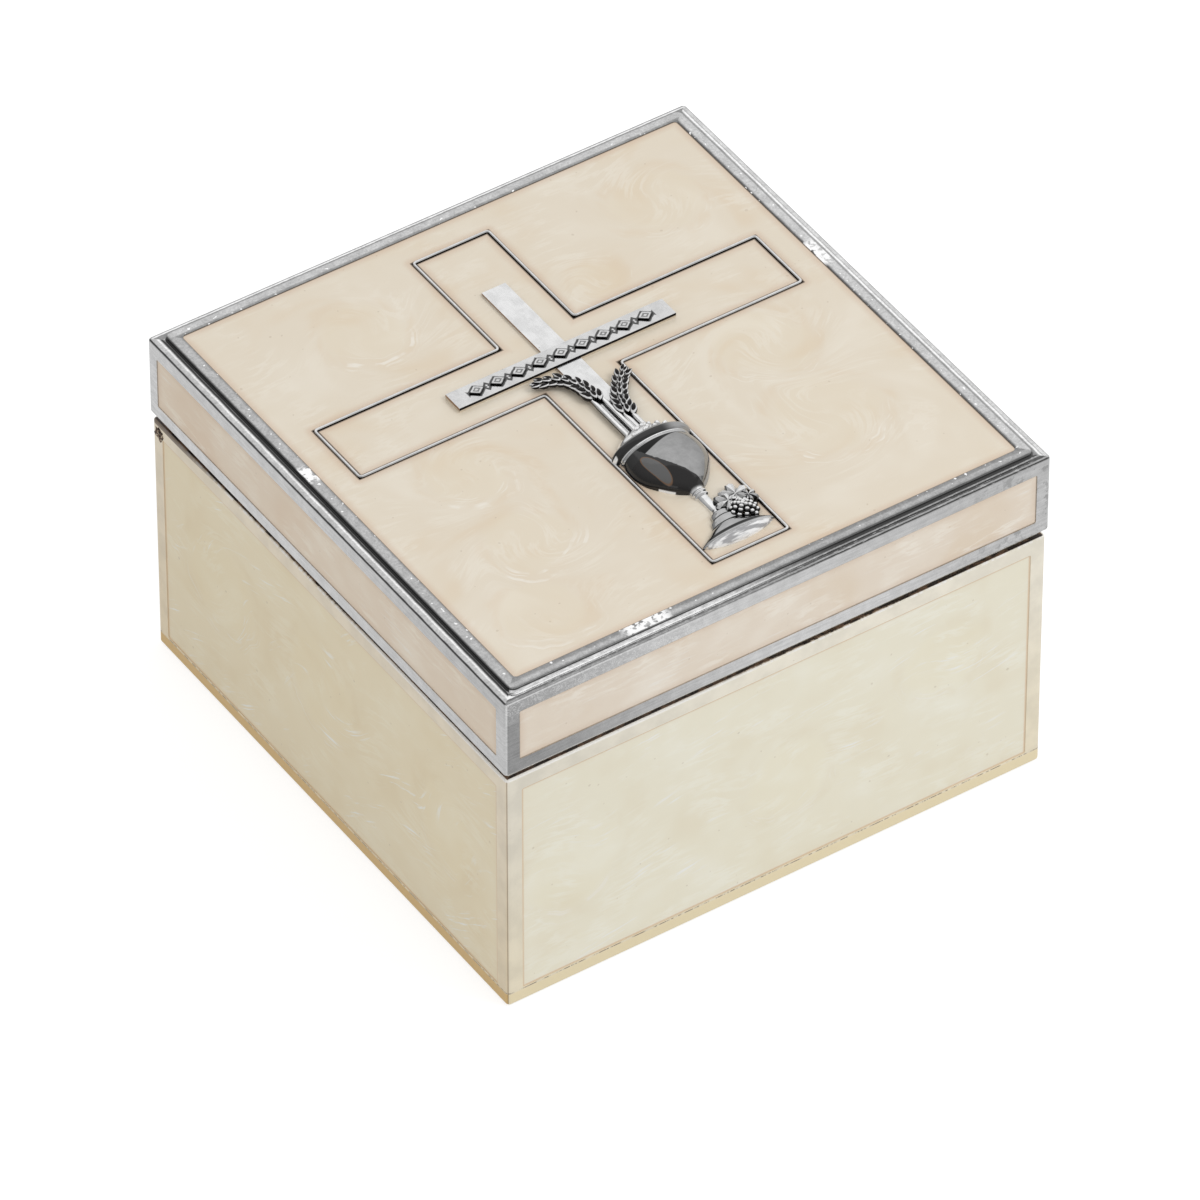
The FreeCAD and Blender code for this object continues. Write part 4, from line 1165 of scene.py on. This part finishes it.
def sewn_pad(node, axis, side, columns, rows):
    """A flat pad on its card, in millimetres, its sides drawn in between the corners. Gives its points, its
    faces and the points that the card holds."""
    low, high = span(node)
    flat = [a for a in range(3) if a != axis]
    thick = high[axis] - low[axis]
    card = low[axis] if side > 0 else high[axis]
    points = []
    held = []
    for layer in (0, 1):
        for row in range(rows + 1):
            for column in range(columns + 1):
                u = column / columns
                v = row / rows
                point = Vector()
                pull_u = DRAWN_IN * math.sin(math.pi * v) * (1 - 2 * u)
                pull_v = DRAWN_IN * math.sin(math.pi * u) * (1 - 2 * v)
                point[flat[0]] = low[flat[0]] + (high[flat[0]] - low[flat[0]]) * u + pull_u
                point[flat[1]] = low[flat[1]] + (high[flat[1]] - low[flat[1]]) * v + pull_v
                point[axis] = card + side * thick * CARD_SHARE * layer
                if layer == 0 or row in (0, rows) or column in (0, columns):
                    held.append(len(points))
                points.append(point)
    across = columns + 1
    layer = across * (rows + 1)
    faces = []
    for row in range(rows):
        for column in range(columns):
            a = row * across + column
            faces.append((a, a + across, a + across + 1, a + 1))
            faces.append((layer + a, layer + a + 1, layer + a + across + 1, layer + a + across))
    border = list(range(columns))
    border += [row * across + columns for row in range(rows)]
    border += [rows * across + columns - column for column in range(columns)]
    border += [(rows - row) * across for row in range(rows)]
    for a, b in zip(border, border[1:] + border[:1]):
        faces.append((a, b, b + layer, a + layer))
    return points, faces, held


def swell(pads):
    """Blows the pads up as cloth held by their cards, and gives each pad's points afterwards."""
    scene = bpy.context.scene
    size = MM * SWELL_SCALE
    cloths = []
    for points, faces, held in pads:
        mesh = bpy.data.meshes.new("sewn")
        mesh.from_pydata([point * size for point in points], [], faces)
        mesh.update()
        cloth = add_object("sewn", mesh)
        cloth.vertex_groups.new(name="held").add(held, 1, "REPLACE")
        solver = cloth.modifiers.new("cloth", "CLOTH")
        solver.point_cache.frame_start = 1
        solver.point_cache.frame_end = SWELL_FRAMES
        settings = solver.settings
        settings.quality = 5
        settings.vertex_group_mass = "held"
        settings.use_pressure = True
        settings.uniform_pressure_force = SWELL_PRESSURE
        settings.shrink_min = -SWELL_SLACK
        settings.effector_weights.gravity = 0
        cloths.append(cloth)
    for number in range(1, SWELL_FRAMES + 1):
        scene.frame_set(number)
    graph = bpy.context.evaluated_depsgraph_get()
    swollen = [cloth.evaluated_get(graph).data.vertices for cloth in cloths]
    shapes = [[vertex.co / size for vertex in vertices] for vertices in swollen]
    scene.frame_set(1)
    for cloth in cloths:
        bpy.data.objects.remove(cloth)
    return shapes


sewn = {node: sewn_pad(node, *way[1:]) for node, way in PADS.items()}
for (node, (points, faces, _)), shape in zip(sewn.items(), swell(sewn.values())):
    body, axis, side = PADS[node][:3]
    low, high = span(node)
    room = (high[axis] - low[axis]) * (1 - CARD_SHARE)
    pad = Shape()
    pad.faces = faces
    for start, end in zip(points, shape):
        crown = room * math.tanh(max((end[axis] - start[axis]) * side, 0) / room)
        spot = start.copy()
        spot[axis] += crown * side
        pad.points.append(spot)
    made = pad.piece(f"{node}_velvet", pile, body, "velvet", node, smooth=180)
    nap = made.modifiers.new("pile", "SUBSURF")
    nap.levels = 1
    nap.render_levels = 1


SQUARE = ((1, -1), (1, 1), (-1, 1), (-1, -1))
# The felt's section from its upper edge to its middle: how far in and how high
FELT_SECTION = (
    (0, 1), (0, 0.3), (0.08, 0.12), (0.3, 0.02), (0.8, 0), (6, 0.03), (14, 0), (26, 0.03),
    (38, 0),
)
FELT_STEPS = 24
FELT_FUZZ = 0.05
FUZZ_BELOW = 0.2


def felt_sheet():
    """The felt let into the underside: a cut sheet with a soft, fuzzy lower edge."""
    sheet = Shape()
    low, high = span("felt_pad")
    draw = random.Random(3)
    rings = []
    for inset, height in FELT_SECTION:
        half = high.x - inset
        corners = [Vector(corner) * half for corner in SQUARE]
        ring = []
        for a, b in zip(corners, corners[1:] + corners[:1]):
            for step in range(FELT_STEPS):
                fuzz = draw.uniform(0, FELT_FUZZ) * (height < FUZZ_BELOW)
                ring.append(Vector((*a.lerp(b, step / FELT_STEPS), low.z + height + fuzz)))
        rings.append(ring)
    sheet.loft(rings)
    return sheet


felt_sheet().piece("felt_sheet", felt, "base", "felt", "felt_pad", smooth=60.0)


# Floor, light and camera, in metres
FLOOR_HALF = 3
FLOOR_TONE = 0.8
# How bright the floor's painted glow looks in the metal, near the middle of its painted shadow and far from
# it, and where that middle is
MIRRORED = (0.3, 0.68)
MIRRORED_MIDDLE = (-28, -95, 0)
MIRRORED_REACH = (8, 62)
# The floor as the camera sees it: a glow, and a share of the light that falls on it, which shows the shadow
FLOOR_GLOW = 0.75
FLOOR_SHARE = 0.42


def white_floor():
    """A floor that lights the box plainly and looks white. In the metal it shows a painted glow with a
    painted shadow round a place in front of the box.
    """
    corners = [Vector((x, y, 0)) * FLOOR_HALF for x, y in SQUARE]
    mesh = bpy.data.meshes.new("floor")
    mesh.from_pydata(corners, [], [(3, 0, 1, 2)])
    g = new_graph("floor_white")
    plain = g.add("BsdfDiffuse", {"Color": grey(FLOOR_TONE)})
    bright = g.length(g.place(), MIRRORED_MIDDLE).step(*MIRRORED_REACH, *MIRRORED)
    mirrored = g.add("Emission", {"Color": WHITE, "Strength": bright})
    plain = g.add("MixShader", {0: g.add("LightPath", output="Is Glossy Ray"), 1: plain, 2: mirrored})
    glow = g.add("Emission", {"Color": WHITE, "Strength": FLOOR_GLOW})
    shown = g.add("AddShader", {0: g.add("BsdfDiffuse", {"Color": grey(FLOOR_SHARE)}), 1: glow})
    both = g.add("MixShader", {0: g.add("LightPath", output="Is Camera Ray"), 1: plain, 2: shown})
    g.add("OutputMaterial", {"Surface": both})
    mesh.materials.append(g.owner)
    return add_object("floor", mesh)


white_floor()

AMBIENT = 0.75
# How bright the sky looks in the metal, at the horizon and high up, and how high that is
SKY = (0.28, 0.52)
SKY_HIGH = 0.7
# Soft boxes that only the metal mirrors: azimuth, elevation and half sizes in degrees, soft edge and power
SOFTBOXES = (
    (38, 38, 56, 41, 0.04, 0.49),
    (-65, 8, 40, 17, 0.2, 0.4),
    (-146, 9, 9, 6, 0.2, 0.6),
)


def toward(azimuth, elevation):
    """The direction at an azimuth and an elevation, in radians."""
    level = math.cos(elevation)
    return Vector((math.cos(azimuth) * level, math.sin(azimuth) * level, math.sin(elevation)))


def softbox(g, way, azimuth, elevation, wide, high, edge):
    """How far a direction lies inside a soft rectangle of light."""
    azimuth = math.radians(azimuth)
    ahead = toward(azimuth, math.radians(elevation))
    aside = Vector((-math.sin(azimuth), math.cos(azimuth), 0))
    depth = g.dot(way, ahead)
    near = g.most(depth, 0.02)
    inside = depth.step(0, 0.1)
    for direction, half in ((aside, wide), (ahead.cross(aside), high)):
        off = abs(g.dot(way, direction) / near)
        limit = math.tan(math.radians(half))
        inside *= off.step(limit * (1 + edge), limit * (1 - edge))
    return inside


def studio():
    """Plain light all round, a white backdrop, and soft boxes for the metal."""
    g = Graph(bpy.data.worlds.new("studio"))
    way = g.add("VectorMath", {0: g.add("TexCoord", output="Generated")}, operation="NORMALIZE")
    shine = way.split()[2].step(0, SKY_HIGH, *SKY)
    for *box, power in SOFTBOXES:
        shine = softbox(g, way, *box) * power + shine
    strength = g.blend(g.add("LightPath", output="Is Glossy Ray"), AMBIENT, shine)
    strength = g.blend(g.add("LightPath", output="Is Camera Ray"), strength, 1)
    background = g.add("Background", {"Color": WHITE, "Strength": strength})
    g.add("OutputWorld", {"Surface": background})
    return g.owner


bpy.context.scene.world = studio()

LAMP_SIZE = 0.5
LAMP_POWER = 2.6
LAMP_PLACE = Vector((0.45, -0.5, 0.8))
key = bpy.data.lights.new("key", "AREA")
key.shape = "DISK"
key.size = LAMP_SIZE
key.energy = LAMP_POWER
lamp = add_object("key", key)
lamp.location = LAMP_PLACE
lamp.rotation_euler = (-LAMP_PLACE).to_track_quat("-Z", "Y").to_euler()
lamp.visible_glossy = False

# The camera, from the fit to the photo: how far round and up, and its distance from the point it looks at,
# which is above the middle and a little to the right
AZIMUTH = math.radians(-33.819)
ELEVATION = math.radians(42.589)
DISTANCE = 1.825995
LOOK_HEIGHT = 19.236 * MM
LOOK_RIGHT = 0.41 * MM
LENS = 391.15
SENSOR = 36
FARTHEST = 20
back = toward(AZIMUTH - math.pi / 2, ELEVATION)
right = Vector((0, 0, 1)).cross(back).normalized()
up = back.cross(right)
camera = bpy.data.cameras.new("camera")
camera.sensor_width = SENSOR
camera.lens = LENS
camera.clip_end = FARTHEST
eye = add_object("camera", camera)
target = right * LOOK_RIGHT + Vector((0, 0, LOOK_HEIGHT))
turned = Matrix((right, up, back)).transposed().to_4x4()
eye.matrix_world = Matrix.Translation(target + back * DISTANCE) @ turned
bpy.context.scene.camera = eye
bpy.context.scene.view_settings.view_transform = "Standard"
